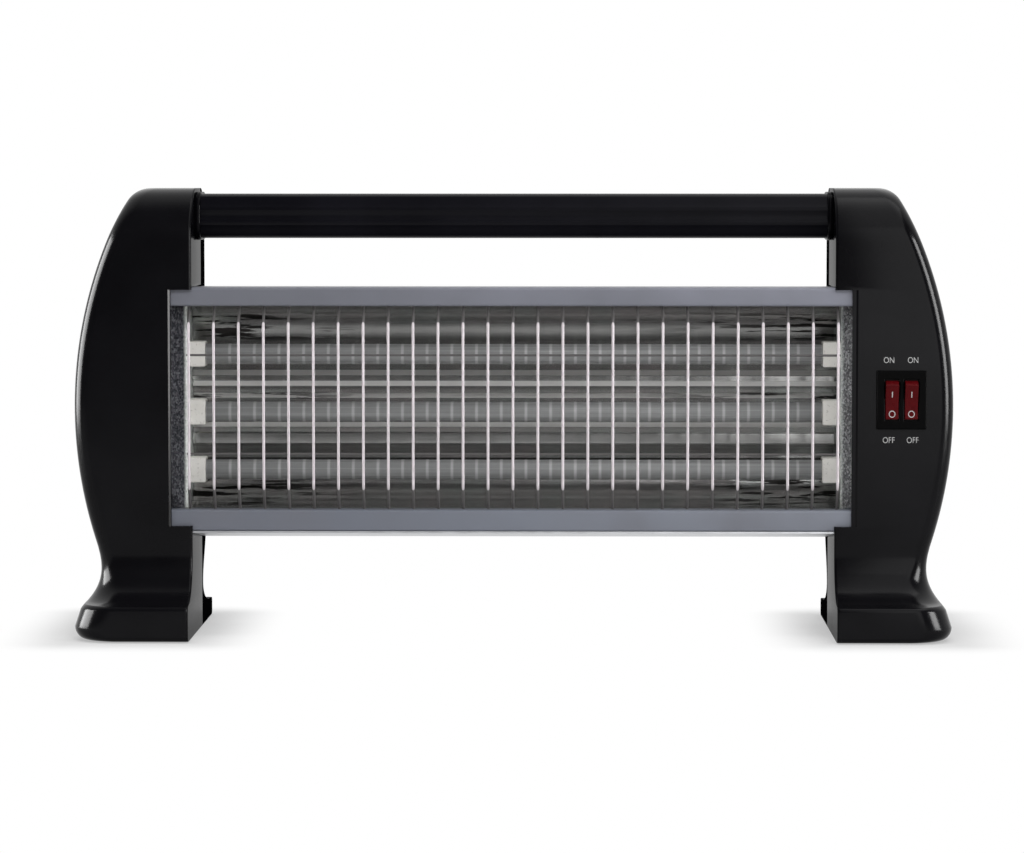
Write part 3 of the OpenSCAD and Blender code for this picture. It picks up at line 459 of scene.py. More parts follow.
def revolve(profile, axis, centre, sides):
    # a profile of (radius, along) points turned about an axis through a centre
    profile = np.asarray(profile, float)
    angles = np.linspace(0, 2*np.pi, sides, endpoint=False)
    r, a = profile[:, :1], profile[:, 1:]
    c, s = np.cos(angles)[None], np.sin(angles)[None]
    around = {"x": (a + 0*c, r*c, r*s), "y": (r*c, a + 0*c, r*s)}[axis]
    points = np.stack(around, -1) + np.asarray(centre, float)
    return weld(fillMesh("turned", points, gridQuads(len(profile), sides, closed=True)), fine)


def rod(radius, start, end, axis, centre, sides):
    # a plain cylinder between two places along its axis
    return revolve([(0.0, start), (radius, start), (radius, end), (0.0, end)], axis, centre, sides)


def roundedLine(points, radius, steps=5):
    # a line of points with each inner corner replaced by an arc of the radius
    points = [np.asarray(p, float) for p in points]
    made = [points[0]]
    for before, corner, after in zip(points, points[1:], points[2:]):
        a, b = before - corner, after - corner
        a, b = a/np.linalg.norm(a), b/np.linalg.norm(b)
        half = math.acos(np.clip(a @ b, -1, 1))/2
        shortest = min(np.linalg.norm(before - corner), np.linalg.norm(after - corner))
        reach = min(radius/math.tan(half), 0.49*shortest)
        r = reach*math.tan(half)
        centre = corner + (a + b)/np.linalg.norm(a + b)*r/math.sin(half)
        start, end = corner + a*reach - centre, corner + b*reach - centre
        for t in np.linspace(0, 1, steps + 1):
            w = start*(1 - t) + end*t
            made.append(centre + w/np.linalg.norm(w)*r)
    made.append(points[-1])
    return np.array(made)


def stripOutline(line, thickness):
    # a closed outline: the line and its copy pushed to the left by the thickness
    line = np.asarray(line, float)
    way = np.gradient(line, axis=0)
    way /= np.linalg.norm(way, axis=1)[:, None]
    left = np.stack([-way[:, 1], way[:, 0]], 1)
    return np.vstack([line + left*thickness, line[::-1]])


def tube(points, radius, sides):
    # a round wire: circles carried along a path on frames that turn as little as they can, with
    # both ends closed to a point
    path = np.asarray(points, float)
    way = np.gradient(path, axis=0)
    way /= np.linalg.norm(way, axis=1)[:, None]
    side = np.cross(way[0], [0.3, 0.2, 0.93] if abs(way[0][2]) < 0.9 else [1.0, 0.1, 0.0])
    sidesAlong = []
    for w in way:
        side = side - w*(side @ w)
        side = side/np.linalg.norm(side)
        sidesAlong.append(side)
    u = np.array(sidesAlong)
    v = np.cross(way, u)
    angles = np.linspace(0, 2*np.pi, sides, endpoint=False)
    c, s = np.cos(angles)[None, :, None], np.sin(angles)[None, :, None]
    rings = path[:, None] + radius*(u[:, None]*c + v[:, None]*s)
    tips = np.stack([np.repeat(path[:1], sides, 0), np.repeat(path[-1:], sides, 0)])
    rings = np.concatenate([tips[:1], rings, tips[1:]])
    return weld(fillMesh("wire", rings, gridQuads(len(rings), sides, closed=True)), fine)


def block(low, high, flare=0.0):
    # a box; flare pushes the front edge of its far side outwards, so that side slants
    low, high = np.asarray(low, float), np.asarray(high, float)
    unit = np.array([[x, y, z] for x in (0, 1) for y in (0, 1) for z in (0, 1)])
    corners = unit*(high - low) + low
    corners[:, 0] += flare*unit[:, 0]*(1 - unit[:, 1])
    quads = [[0, 1, 3, 2], [4, 6, 7, 5], [0, 4, 5, 1], [2, 3, 7, 6], [0, 2, 6, 4], [1, 5, 7, 3]]
    return weld(fillMesh("block", corners, quads))


def prism(outline, x0, x1):
    # a closed outline of (y, z) points drawn out from x0 to x1
    return weld(closedTube("prism", carried(outline, [x0, x1])))


def cutAway(mesh, cutters):
    # the mesh less each cutter, worked out exactly
    thing = bpy.data.objects.new("workpiece", mesh)
    bpy.context.scene.collection.objects.link(thing)
    tools = []
    for cutter in cutters:
        tool = bpy.data.objects.new("cutter", cutter)
        bpy.context.scene.collection.objects.link(tool)
        tools.append(tool)
        cut = thing.modifiers.new("cut", "BOOLEAN")
        cut.operation = "DIFFERENCE"
        cut.solver = "EXACT"
        cut.object = tool
    depsgraph = bpy.context.evaluated_depsgraph_get()
    made = bpy.data.meshes.new_from_object(thing.evaluated_get(depsgraph))
    for spare in [thing, *tools]:
        bpy.data.objects.remove(spare)
    return made


def mirrored(mesh):
    # the mesh's other hand
    twin = mesh.copy()
    points = np.empty(len(twin.vertices)*3)
    twin.vertices.foreach_get("co", points)
    points = points.reshape(-1, 3)*[-1, 1, 1]
    twin.vertices.foreach_set("co", points.ravel())
    twin.flip_normals()
    return twin


def nodeBox(name):
    # a node's lowest and highest corner in millimetres
    return [np.array([c/mm for c in corner]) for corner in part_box(name)]


def nodeMiddle(name):
    low, high = nodeBox(name)
    return (low + high)/2


# side panels: the CAD outlines again, with close sections, rounded seams and cut-outs
panel = {
    "outlineR": 235.8, "middleZ": 123.0, "shoulderR": 12.0, "crownFrontR": 30.0, "crownRearR": 20.0,
    "top": 241.0, "bottom": 0.6, "innerX": 172.0, "frontY": -41.5, "rearY": 34.5, "partingY": 11.5,
    "toeY": 69.0, "toeH": 19.5, "sweepR": 25.0, "toeEdgeR": 2.5, "toeCornerR": 18.0, "edgeR": 8.0,
    "toeInset": 1.75, "toeFlare": 5.0, "neckBlend": 6.0, "soleR": 7.0, "heelH": 10.0,
    "legZ": 24.0, "legTopZ": 54.0, "legInset": 17.0, "innerEdgeR": 1.5, "wall": 2.5, "seam": 0.35,
}


def quarter(r, d):
    # height of a circle of radius r at the distance d from its middle, 0 outside it
    return np.sqrt(np.maximum(0, r*r - d*d))


def outlineX(z):
    # half width at height z: sole round, flare, smooth neck, circle, shoulder round
    p = panel
    shoulderZ = p["top"] - p["shoulderR"]
    inner = p["outlineR"] - p["shoulderR"]
    shoulderX = math.sqrt(inner**2 - (shoulderZ - p["middleZ"])**2)
    shoulderStart = p["middleZ"] + p["outlineR"]*(shoulderZ - p["middleZ"])/inner
    toeHalf = p["outlineR"] - p["toeInset"]
    waistZ, soleZ = p["toeH"] + p["sweepR"] + p["neckBlend"], p["bottom"] + p["soleR"]
    bow = lambda h: quarter(p["outlineR"], h - p["middleZ"])
    slopeHigh = (p["middleZ"] - waistZ)/bow(waistZ)
    slopeLow = -2*p["toeFlare"]/(p["toeH"] - soleZ)
    h = waistZ - p["toeH"]
    t = np.clip((z - p["toeH"])/h, 0, 1)
    a, b = toeHalf - p["toeFlare"], bow(waistZ)
    neck = (a*(2*t**3 - 3*t**2 + 1) + slopeLow*h*(t**3 - 2*t**2 + t)
            + b*(3*t**2 - 2*t**3) + slopeHigh*h*(t**3 - t**2))
    flare = toeHalf - p["toeFlare"]*((z - soleZ)/(p["toeH"] - soleZ))**2
    sole = toeHalf - p["soleR"] + quarter(p["soleR"], np.maximum(0, soleZ - z))
    shoulder = shoulderX + quarter(p["shoulderR"], z - shoulderZ)
    return np.select([z > shoulderStart, z > waistZ, z > p["toeH"], z > soleZ],
                     [shoulder, bow(z), neck, flare], sole)


def footTip(z, top):
    # reach of the foot at height z, its upper and lower edge rounded
    p = panel
    r = p["toeEdgeR"]
    high = quarter(r, np.maximum(0, z - top + r))
    low = quarter(r, np.maximum(0, p["bottom"] + r - z))
    return p["toeY"] - r + np.minimum(high, low)


def frontFaceY(z):
    # crown round, flat face, hollow sweep and toe
    p = panel
    neckZ = p["toeH"] + p["sweepR"]
    crownR = p["crownFrontR"]
    crown = p["frontY"] + crownR - quarter(crownR, z - p["top"] + crownR)
    sweep = p["frontY"] - p["sweepR"] + quarter(p["sweepR"], neckZ - z)
    return np.select([z > p["top"] - crownR, z > neckZ, z > p["toeH"]],
                     [crown, p["frontY"] + 0*z, sweep], -footTip(z, p["toeH"]))


def rearFaceY(z):
    # crown round, flat back, drawn-in leg, hollow sweep and heel
    p = panel
    legY = p["rearY"] - p["legInset"]
    tip = p["toeY"] - p["toeEdgeR"]
    crownR = p["crownRearR"]
    crown = p["rearY"] - crownR + quarter(crownR, z - p["top"] + crownR)
    leg = legY + p["legInset"]*(1 - np.cos(np.pi*(z - p["legZ"])/(p["legTopZ"] - p["legZ"])))/2
    sweep = tip - (tip - legY)*quarter(1, np.clip((p["legZ"] - z)/(p["legZ"] - p["heelH"]), 0, 1))
    return np.select([z > p["top"] - crownR, z > p["legTopZ"], z > p["legZ"], z > p["heelH"]],
                     [crown, p["rearY"] + 0*z, leg, sweep], footTip(z, p["heelH"]))


def planR(z):
    # radius of the outer edge seen from above: wide at the toe, smaller above the sweep
    p = panel
    t = np.clip((z - p["toeH"])/p["sweepR"], 0, 1)
    return p["toeCornerR"] + (p["edgeR"] - p["toeCornerR"])*t*t*(3 - 2*t)


def panelSkin(heights, inset, front):
    # level sections from the parting plane round the face and back, all drawn in by the inset
    p = panel
    tall = p["top"] - p["bottom"]
    z = p["bottom"] + inset + (heights - p["bottom"])*(tall - 2*inset)/tall
    near = np.clip(np.stack([z - inset, z, z + inset]), p["bottom"], p["top"])
    side = 1 if front else -1
    faceY = (frontFaceY(near).max(0) + inset) if front else (rearFaceY(near).min(0) - inset)
    x0, x1 = p["innerX"] + inset, outlineX(near).min(0) - inset
    ri = max(0.3, p["innerEdgeR"] - inset)
    ro = planR(z) - inset
    seam = p["seam"] if inset == 0 else 0.0
    innerTurn = np.radians(np.linspace(0, 90, 7))
    outerTurn = np.radians(np.linspace(0, 90, 19))
    ones = np.ones_like(z)
    plane = p["partingY"]
    cols = [(x0 + seam, plane*ones), (x0*ones, plane - side*seam*ones)]
    cols += [(x0 + ri*(1 - math.cos(a)), faceY + side*ri*(1 - math.sin(a))) for a in innerTurn]
    cols += [(x1 - ro*(1 - math.sin(a)), faceY + side*ro*(1 - math.cos(a))) for a in outerTurn]
    cols += [(x1, plane - side*seam*ones), (x1 - seam, plane*ones)]
    grid = np.stack([np.stack([x*ones, y*ones, z], -1) for x, y in cols], 1)
    caps = grid[[0, -1]].copy()
    caps[:, :, 1] = plane
    return np.concatenate([caps[:1], grid, caps[1:]])


def panelHeights(front):
    # close together on the rounds, a few millimetres apart on the long faces
    p = panel
    turn = np.radians(np.linspace(0, 90, 13))
    neckZ = p["toeH"] + p["sweepR"]
    crown = p["crownFrontR"] if front else p["crownRearR"]
    parts = [p["bottom"] + p["soleR"]*(1 - np.cos(turn)),
             p["bottom"] + p["toeEdgeR"]*(1 - np.cos(turn[::2]))]
    if front:
        parts += [p["toeH"] - p["toeEdgeR"]*(1 - np.sin(turn)),
                  neckZ - p["sweepR"]*np.cos(np.radians(np.linspace(12, 90, 22)))]
        parts += [np.linspace(neckZ, p["top"] - crown, 40)]
    else:
        parts += [p["heelH"] - p["toeEdgeR"]*(1 - np.sin(turn)),
                  p["legZ"] - (p["legZ"] - p["heelH"])*np.cos(np.radians(np.linspace(8, 90, 14))),
                  np.linspace(p["legZ"], p["legTopZ"], 14),
                  np.linspace(p["legTopZ"], p["top"] - crown, 38)]
    parts += [p["top"] - crown*(1 - np.sin(np.radians(np.linspace(0, 90, 25)))),
              p["top"] - p["shoulderR"]*(1 - np.sin(turn))]
    heights = np.unique(np.round(np.concatenate(parts), 3))
    return heights[np.concatenate([[True], np.diff(heights) > 0.02])]


def panelShell(front):
    # the outer and the inner skin, joined all round by a rim along the parting plane
    heights = panelHeights(front)
    outer = panelSkin(heights, 0.0, front)
    inner = panelSkin(heights, panel["wall"], front)
    rows, cols = outer.shape[:2]
    count = rows*cols
    index = np.arange(count).reshape(rows, cols)
    rim = np.concatenate([index[:, 0], index[-1, 1:], index[-2::-1, -1], index[0, -2:0:-1]])
    rim = np.stack([rim, np.roll(rim, -1), np.roll(rim, -1) + count, rim + count], -1)
    quads = np.concatenate([gridQuads(rows, cols), gridQuads(rows, cols, count), rim])
    points = np.concatenate([outer.reshape(-1, 3), inner.reshape(-1, 3)])
    return weld(fillMesh("panel", points, quads), 2*fine)


shellBox = nodeBox("housing_shell")
railTop, railLow = nodeBox("top_rail"), nodeBox("bottom_rail")
notch = {
    "lipLeft": 0.3, "lipRight": 2.1, "left": 183.6, "right": 183.2, "coverTop": 1.2,
    "coverLow": 3.8, "step": 0.8, "slant": 1.25,
}
lowerRailTall = 12.6
housing = {
    "frontY": railTop[0][1], "rearY": shellBox[1][1], "top": railTop[1][2],
    "low": railLow[1][2] - lowerRailTall, "rearLow": shellBox[0][2], "sheet": 1.0, "gap": 0.2,
    "fold": 2.5, "rings": 41,
}


def housingWay():
    # the slot in a panel's inner wall that the housing passes through
    h = housing
    g = h["gap"]
    outline = [[h["frontY"] - g, h["top"] + g], [h["rearY"] + g, h["top"] + g],
               [h["rearY"] + g, h["rearLow"] - g], [h["frontY"] - g, h["low"] - g]]
    return prism(outline, panel["innerX"] - 1, panel["innerX"] + panel["wall"] + 1)


def notchCutters(lip, x1):
    # a shallow step with a slanted wall, and the opening in front of the housing, which is the
    # narrower of the two by the lip
    h, n = housing, notch
    x0 = panel["innerX"] - 1
    low, high = h["low"] + n["coverLow"], h["top"] - n["coverTop"]
    faceY = panel["frontY"]
    step = block([x0, faceY - 1, low], [x1, faceY + n["step"], high], n["slant"]*(1 + n["step"]))
    opening = block([x0, faceY - 1.5, low + 0.01], [x1 - lip, h["frontY"] + 0.5, high - 0.01])
    return [step, opening]


screwPlaces = [(198.0, 214.0), (222.0, 150.0), (219.0, 66.0)]
recess = {
    "radius": 3.5, "wall": 1.5, "seatY": 21.5, "edge": 0.4, "room": 0.6, "inletR": 6.0,
    "cutFrom": 25.0, "cutTo": 40.0,
}


def recessCup(x, z):
    # the round well of a screw in the rear shell, its mouth softly rounded
    r, t, y0, y1 = recess["radius"], recess["wall"], recess["seatY"], panel["rearY"]
    e = recess["edge"]
    profile = [(0.0, y0), (r, y0), (r, y1 - e), (r + 0.3*e, y1 - 0.3*e), (r + e, y1 + 0.02),
               (r + t, y1 - 0.2), (r + t, y0 - 1), (0.0, y0 - 1)]
    return revolve(profile, "y", (x, 0, z), 40)


def rearHole(radius, x, z, sides):
    # what is cut from the rear wall for a round hole
    return rod(radius, recess["cutFrom"], recess["cutTo"], "y", (x, 0, z), sides)


def makePanels():
    # the right-hand shells less their openings; the left-hand ones are the same mirrored, apart
    # from the notch, which has its own sizes on each side
    leftFront, rightFront = [
        cutAway(panelShell(True), [housingWay(), *notchCutters(notch[lip], notch[side])])
        for lip, side in (("lipLeft", "left"), ("lipRight", "right"))]
    wells = [rearHole(recess["radius"] + recess["room"], x, z, 40) for x, z in screwPlaces]
    rearShell = cutAway(panelShell(False), [housingWay(), *wells])
    cups = [recessCup(x, z) for x, z in screwPlaces]
    bush = nodeMiddle("cord_inlet_bush")
    inlet = rearHole(recess["inletR"], bush[0], bush[2], 48)
    piece("rightFrontShell", rightFront, "frontPlastic", replaces=["right_front_panel"])
    piece("leftFrontShell", mirrored(leftFront), "frontPlastic", replaces=["left_front_panel"])
    piece("leftRearShell", [mirrored(m) for m in [rearShell, *cups]], "rearPlastic",
          replaces=["left_rear_panel"])
    piece("rightRearShell", [cutAway(rearShell, [inlet]), *cups], "rearPlastic",
          replaces=["right_rear_panel"])


makePanels()
print("side panels made")


# handle bar: rounded bar with flutes on the front and the back, between two end caps
bar = {
    "round": 9.0, "pitch": 7.6, "fluteR": 5.0, "depth": 0.9, "faceIn": 4, "spacing": 0.35,
    "rings": 9,
}
cap = {"soft": 0.5, "step": 0.02, "proud": 1.0, "sunk": -2.9}


def barProfile(box, flutes=True):
    # a rounded rectangle of the box's outline; the flutes are shallow arcs cut into its flats
    (y0, z0), (y1, z1) = box[0][1:], box[1][1:]
    r = bar["round"]
    turns = np.radians(np.linspace(0, 90, 15))
    corners = [(y1 - r, z1 - r, 0), (y0 + r, z1 - r, 90),
               (y0 + r, z0 + r, 180), (y1 - r, z0 + r, 270)]
    ring = []
    for y, z, start in corners:
        a = turns + math.radians(start)
        ring.append(np.stack([y + r*np.cos(a), z + r*np.sin(a)], 1))
    ring = np.concatenate(ring + [ring[0][:1]])
    along = np.concatenate([[0.0], np.cumsum(np.linalg.norm(np.diff(ring, axis=0), axis=1))])
    even = np.linspace(0, along[-1], int(along[-1]/bar["spacing"]), endpoint=False)
    ring = np.stack([np.interp(even, along, ring[:, 0]), np.interp(even, along, ring[:, 1])], 1)
    if flutes:
        middleY, middleZ = (y0 + y1)/2, (z0 + z1)/2
        for k in (-1, 0, 1):
            away = ring[:, 1] - middleZ - k*bar["pitch"]
            bite = np.maximum(0, quarter(bar["fluteR"], away) - bar["fluteR"] + bar["depth"])
            hit = (bite > 0) & (np.abs(ring[:, 0] - middleY) > (y1 - y0)/2 - bar["faceIn"])
            ring[hit, 0] -= (np.sign(ring[:, 0] - middleY)*bite)[hit]
    return ring


def makeHandle():
    # the fluted profile carried between the panels; a cap's rings are the plain profile grown by a
    # little more than the bar, with both edges eased
    box = nodeBox("handle_bar")
    capBox = nodeBox("handle_end_caps")
    xs = np.linspace(box[0][0], box[1][0], bar["rings"])
    mesh = closedTube("bar", carried(barProfile(box), xs))
    piece("handleBar", mesh, "handlePlastic", replaces=["handle_bar"],
          sharp=50.0)
    profile = barProfile(box, False)
    middle = (profile.max(0) + profile.min(0))/2
    half = (profile.max(0) - profile.min(0))/2
    soft, step, low = cap["soft"], cap["step"], cap["proud"] - cap["soft"]
    grows = [low, low, cap["proud"], cap["proud"], low, cap["sunk"]]
    rims = []
    for side in (-1, 1):
        outer, inner = capBox[1][0]*side, box[1][0]*side
        xs = [outer, outer - side*step, outer - side*soft,
              inner + side*soft, inner + side*step, inner]
        rings = [np.column_stack([np.full(len(profile), x),
                                  middle + (profile - middle)*(half + grow)/half])
                 for x, grow in zip(xs, grows)]
        rims.append(closedTube("cap", rings))
    piece("handleCaps", rims, "frontPlastic", replaces=["handle_end_caps"],
          sharp=50.0)


makeHandle()
print("handle made")


# sheet metal: housing, rails and reflector
tubeZ = [nodeMiddle(level + "_quartz_tube")[2] for level in ("upper", "middle", "lower")]
slotRow = {"count": 6, "pitch": 50.4, "half": 16, "radius": 2}
rail = {"bend": 1.4, "flange": 20.0, "lip": 10.0, "rings": 21}
mirrorSheet = {
    "round": 25.0, "rib": 6.0, "thick": 0.6, "fold": 1.6, "runOut": 2, "rings": 241,
    "calm": 0.03, "crinkle": 0.5,
    # size, turns along, turns across and start of each wave
    "waves": ((1.0, 9, 5, 0), (0.6, 23, -11, 1), (0.4, 41, 17, 2), (0.3, 67, -31, 3)),
}


def makeHousing():
    # a bent sheet carried along X, less three rows of round-ended slots in its back
    h, s = housing, slotRow
    line = roundedLine([[shellBox[0][1], h["low"]], [h["rearY"], h["rearLow"]],
                        [h["rearY"], h["top"] - h["sheet"]],
                        [h["frontY"] + h["sheet"], h["top"] - h["sheet"]]], h["fold"])
    xs = np.linspace(shellBox[0][0], shellBox[1][0], h["rings"])
    shell = weld(closedTube("housing", carried(stripOutline(line, h["sheet"]), xs)), fine)
    slots = []
    turn = np.radians(np.linspace(-90, 90, 9))
    for z in tubeZ:
        end = np.stack([s["half"] + s["radius"]*np.cos(turn), z + s["radius"]*np.sin(turn)], 1)
        ring = np.concatenate([end, np.stack([-end[::-1, 0], end[::-1, 1]], 1)])
        for k in range(s["count"]):
            x = (k - (s["count"] - 1)/2)*s["pitch"]
            slots.append(closedTube("slot", [
                np.column_stack([ring[:, 0] + x, np.full(len(ring), y), ring[:, 1]])
                for y in (h["rearY"] - 3, h["rearY"] + 2)]))
    piece("housingShell", cutAway(shell, slots), "housingSheet", replaces=["housing_shell"])


def makeRails():
    # bent strips carried along X: a flange that runs back, the face and a lip inside
    h = housing
    slope = (h["low"] - h["rearLow"])/(h["rearY"] - h["frontY"])
    xs = np.linspace(shellBox[0][0], shellBox[1][0], rail["rings"])
    for name, node, outer, inner, fall, hand in (
            ("topRail", "top_rail", h["top"], railTop[0][2], 0.0, -1),
            ("lowerRail", "bottom_rail", h["low"] + h["sheet"] + 0.1, railLow[1][2], slope, 1)):
        line = roundedLine([[h["frontY"] + rail["flange"], outer - fall*rail["flange"]],
                            [h["frontY"], outer], [h["frontY"], inner],
                            [h["frontY"] + rail["lip"], inner]], rail["bend"])
        mesh = closedTube(name, carried(stripOutline(line, -hand*h["sheet"]), xs))
        piece(name, mesh, "railPaint", replaces=[node], sharp=50.0)


def makeReflector():
    # a trough carried along X; its depth is shaken by slow waves that grow towards the ends
    m = mirrorSheet
    box = nodeBox("reflector")
    backY = box[1][1] - m["thick"]
    top, low, frontY = box[1][2] - m["thick"], box[0][2] + m["thick"], box[0][1]
    r = m["round"]
    turn, lowTurn = np.radians(np.linspace(0, 90, 19)), np.radians(np.linspace(-90, 0, 19))
    line = [[frontY, low]]
    line += list(np.stack([backY - r + r*np.cos(lowTurn), low + r + r*np.sin(lowTurn)], 1))
    foot, tip = m["rib"]*1.5, m["rib"]/2
    for z in ((tubeZ[1] + tubeZ[2])/2, (tubeZ[0] + tubeZ[1])/2):
        rib = [[backY, z - foot - m["runOut"]], [backY, z - foot], [backY - m["rib"], z - tip],
               [backY - m["rib"], z + tip], [backY, z + foot], [backY, z + foot + m["runOut"]]]
        line += list(roundedLine(rib, m["fold"])[1:-1])
    line += list(np.stack([backY - r + r*np.cos(turn), top - r + r*np.sin(turn)], 1))
    line += [[frontY, top]]
    xs = np.linspace(box[0][0], box[1][0], m["rings"])
    rows = carried(line, xs)
    s = np.linspace(0, 1, len(line))[None]
    x = xs[:, None]/box[1][0]
    grow = 0.1 + 0.9*np.abs(x)**3
    shake = sum(size*np.sin(along*x + across*s + start)
                for size, along, across, start in m["waves"])
    # the rounds at top and bottom crinkle towards the ends, the ribbed back stays straight
    rounds = np.clip(np.abs(2*s - 1)*2.2 - 0.9, 0, 1)*np.sin(np.pi*s)
    depth = m["calm"] + m["crinkle"]*rounds*grow
    rows[:, :, 1] -= depth*(1.6 + shake)*np.sin(np.pi*s)
    mesh = fillMesh("reflector", rows, gridQuads(len(xs), len(line)))
    trough = piece("reflectorTrough", mesh, "reflectorSheet", replaces=["reflector"],
                   sharp=60.0)
    wall = trough.modifiers.new("wall", "SOLIDIFY")
    wall.thickness = m["thick"]*mm
    wall.offset = 0.0


makeHousing()
makeRails()
makeReflector()
print("sheet metal made")


# guard: upright wires and two level wires behind them
def makeGuard():
    # each upright wire runs straight down between two bends that lead its ends back into the rails
    g = guard
    box = nodeBox("wire_guard")
    frontY = box[0][1] + g["wire"]
    backY = frontY + g["bend"]
    low, high = railLow[1][2], railTop[0][2]
    line = roundedLine([[backY, box[0][2]], [backY, low + g["turnIn"]],
                        [frontY, low + g["bendLow"]], [frontY, high - g["bendHeight"]],
                        [backY, high - g["turnIn"]], [backY, box[1][2]]], g["bendR"], 6)
    wires = []
    for k in range(g["count"]):
        x = (k - (g["count"] - 1)/2)*g["pitch"]
        wires.append(tube(np.column_stack([np.full(len(line), x), line]), g["wire"], g["sides"]))
    y = frontY + g["wire"] + g["levelWire"] - g["bite"]
    for side in (-1, 1):
        z = (low + high)/2 + g["lift"] + side*g["cross"]/2
        path = [[x, y, z] for x in (box[0][0], 0, box[1][0])]
        wires.append(tube(path, g["levelWire"], g["sides"]))
    piece("wireGuard", wires, "wire", replaces=["wire_guard"], sharp=60.0)


makeGuard()
print("guard made")


# quartz tubes, coils and ceramic holders
quartz = {"wall": 1.2, "soft": 0.3, "sides": 40}
coil = {"wire": 0.35, "pitch": 2.1, "sides": 6, "perTurn": 12, "short": 6}
holder = {"side": 13.6, "collar": 2.0, "bore": 5.6, "seat": 9.2, "round": 0.8, "plate": 8}


def makeTubes():
    # a soft-ended tube turned about X, and a wire wound along a helix inside it
    for level in ("upper", "middle", "lower"):
        node = level + "_quartz_tube"
        low, high = nodeBox(node)
        y, z = nodeMiddle(node)[1:]
        r, half = (high[1] - low[1])/2, high[0]
        inner, soft = r - quartz["wall"], quartz["soft"]
        profile = [(inner, -half + soft), (inner + soft, -half), (r - soft, -half),
                   (r, -half + soft), (r, half - soft), (r - soft, half),
                   (inner + soft, half), (inner, half - soft), (inner, -half + soft)]
        piece(level + "QuartzTube", revolve(profile, "x", (0, y, z), quartz["sides"]), "quartz",
              replaces=[node], sharp=60.0)
        coilNode = level + "_heating_coil"
        low, high = nodeBox(coilNode)
        winding = (high[1] - low[1])/2 - coil["wire"]
        span = high[0] - coil["short"]
        turns = int(2*span/coil["pitch"])
        t = np.linspace(0, 1, turns*coil["perTurn"])
        a = 2*np.pi*turns*t
        path = np.column_stack([-span + 2*span*t, y + winding*np.cos(a), z + winding*np.sin(a)])
        piece(level + "HeatingCoil", tube(path, coil["wire"], coil["sides"]), "coilWire",
              replaces=[coilNode], sharp=80.0)


def makeHolders():
    # three square blocks a side, each bored for its tube and with a collar outside the end plate
    h = holder
    half, wide = h["side"]/2, h["side"]/2 + h["collar"]
    for sideName, side in (("left", -1), ("right", 1)):
        node = sideName + "_tube_holders"
        low, high = nodeBox(node)
        inX, outX = (high[0], low[0]) if side < 0 else (low[0], high[0])
        y = nodeMiddle(node)[1]
        plate = outX - side*h["plate"]
        collarX = sorted([plate, plate + side*h["collar"]])
        meshes = []
        for z in tubeZ:
            bore = rod(h["bore"], inX - side, inX + side*h["seat"], "x", (0, y, z), 40)
            body = block([low[0], y - half, z - half], [high[0], y + half, z + half])
            meshes.append(cutAway(body, [weld(bore)]))
            meshes.append(block([collarX[0], y - wide, z - wide], [collarX[1], y + wide, z + wide]))
        piece(sideName + "TubeHolders", meshes, "ceramic", replaces=[node],
              bevel=h["round"])


makeTubes()
makeHolders()
print("tubes made")


# switch: bezel, rockers with marks, and the lettering round it
switch = {
    "rockerW": 7.0, "rockerR": 10.6, "valley": 3.2, "travel": 22.0, "base": 3.0, "well": 6.0,
    "edge": 0.7, "bezel": 2.5, "slack": 0.3, "sideIn": 2.3, "endIn": 2, "bodyEdge": 0.3,
    "pivot": 0.8, "pinR": 1.2, "pinHalf": 4.6, "keyEdge": 0.45,
}
mark = {
    "lift": 0.05, "barHalf": 0.25, "bar": (2.2, 5.5), "ring": (1.35, 1.75), "ringZ": -6.7,
    "tall": 1.05, "sides": 40,
}
letter = {
    "height": 3.3, "capShare": 0.72, "narrow": 0.82, "thin": -0.035, "proud": 0.05,
    "rows": (("ON", 149.6), ("OFF", 106.8)), "columns": (200.7, 213.5),
}


def makeSwitch():
    # a bezel and the body behind it, both with a well for each rocker
    s = switch
    low, high = nodeBox("switch_frame")
    cz = nodeMiddle("switch_frame")[2]
    rockers = [(node, nodeMiddle(node)[0]) for node in ("left_rocker", "right_rocker")]
    frontY, panelY = low[1], low[1] + s["bezel"]
    w, h = s["rockerW"]/2 + s["slack"], s["rockerR"] + s["slack"]
    wells = [block([x - w, frontY - 1, cz - h], [x + w, panelY + s["well"], cz + h])
             for node, x in rockers]
    rim = block([low[0], frontY, low[2]], [high[0], panelY, high[2]])
    body = block([low[0] + s["sideIn"], panelY - 0.01, low[2] + s["endIn"]],
                 [high[0] - s["sideIn"], high[1], high[2] - s["endIn"]])
    piece("switchBezel", cutAway(rim, wells), "switchBlack", replaces=["switch_frame"],
          bevel=s["edge"])
    piece("switchBody", cutAway(body, wells), "switchBlack",
          bevel=s["bodyEdge"])
    pivotY = panelY + s["pivot"]
    for node, x in rockers:
        makeRocker(node, x, pivotY, cz)
        makeMarks(node, x, pivotY, cz)
    makeLettering(panelY)


def makeRocker(node, x, pivotY, cz):
    # two flats that meet in a valley and two arcs about the pivot, tilted as in the photograph
    s = switch
    tilt = math.radians(s["travel"]/2)
    r, k, valley = s["rockerR"], math.tan(tilt), s["valley"]
    tip = (math.sqrt(r*r*(1 + k*k) - valley**2) - k*valley)/(1 + k*k)
    depths = np.linspace(-valley - k*tip, s["base"], 17)
    ends = quarter(r, depths)
    outline = np.concatenate([np.stack([depths, ends], 1), np.stack([depths, -ends], 1)[::-1],
                              [[-valley, 0.0]]])
    y, z = onTilted(outline[:, 0], outline[:, 1], pivotY, cz)
    key = prism(np.stack([y, z], 1), x - s["rockerW"]/2, x + s["rockerW"]/2)
    pin = rod(s["pinR"], x - s["pinHalf"], x + s["pinHalf"], "x", (0, pivotY, cz), 24)
    piece(node.split("_")[0] + "Rocker", [key, pin], "red", body=node, replaces=[node],
          bevel=s["keyEdge"])


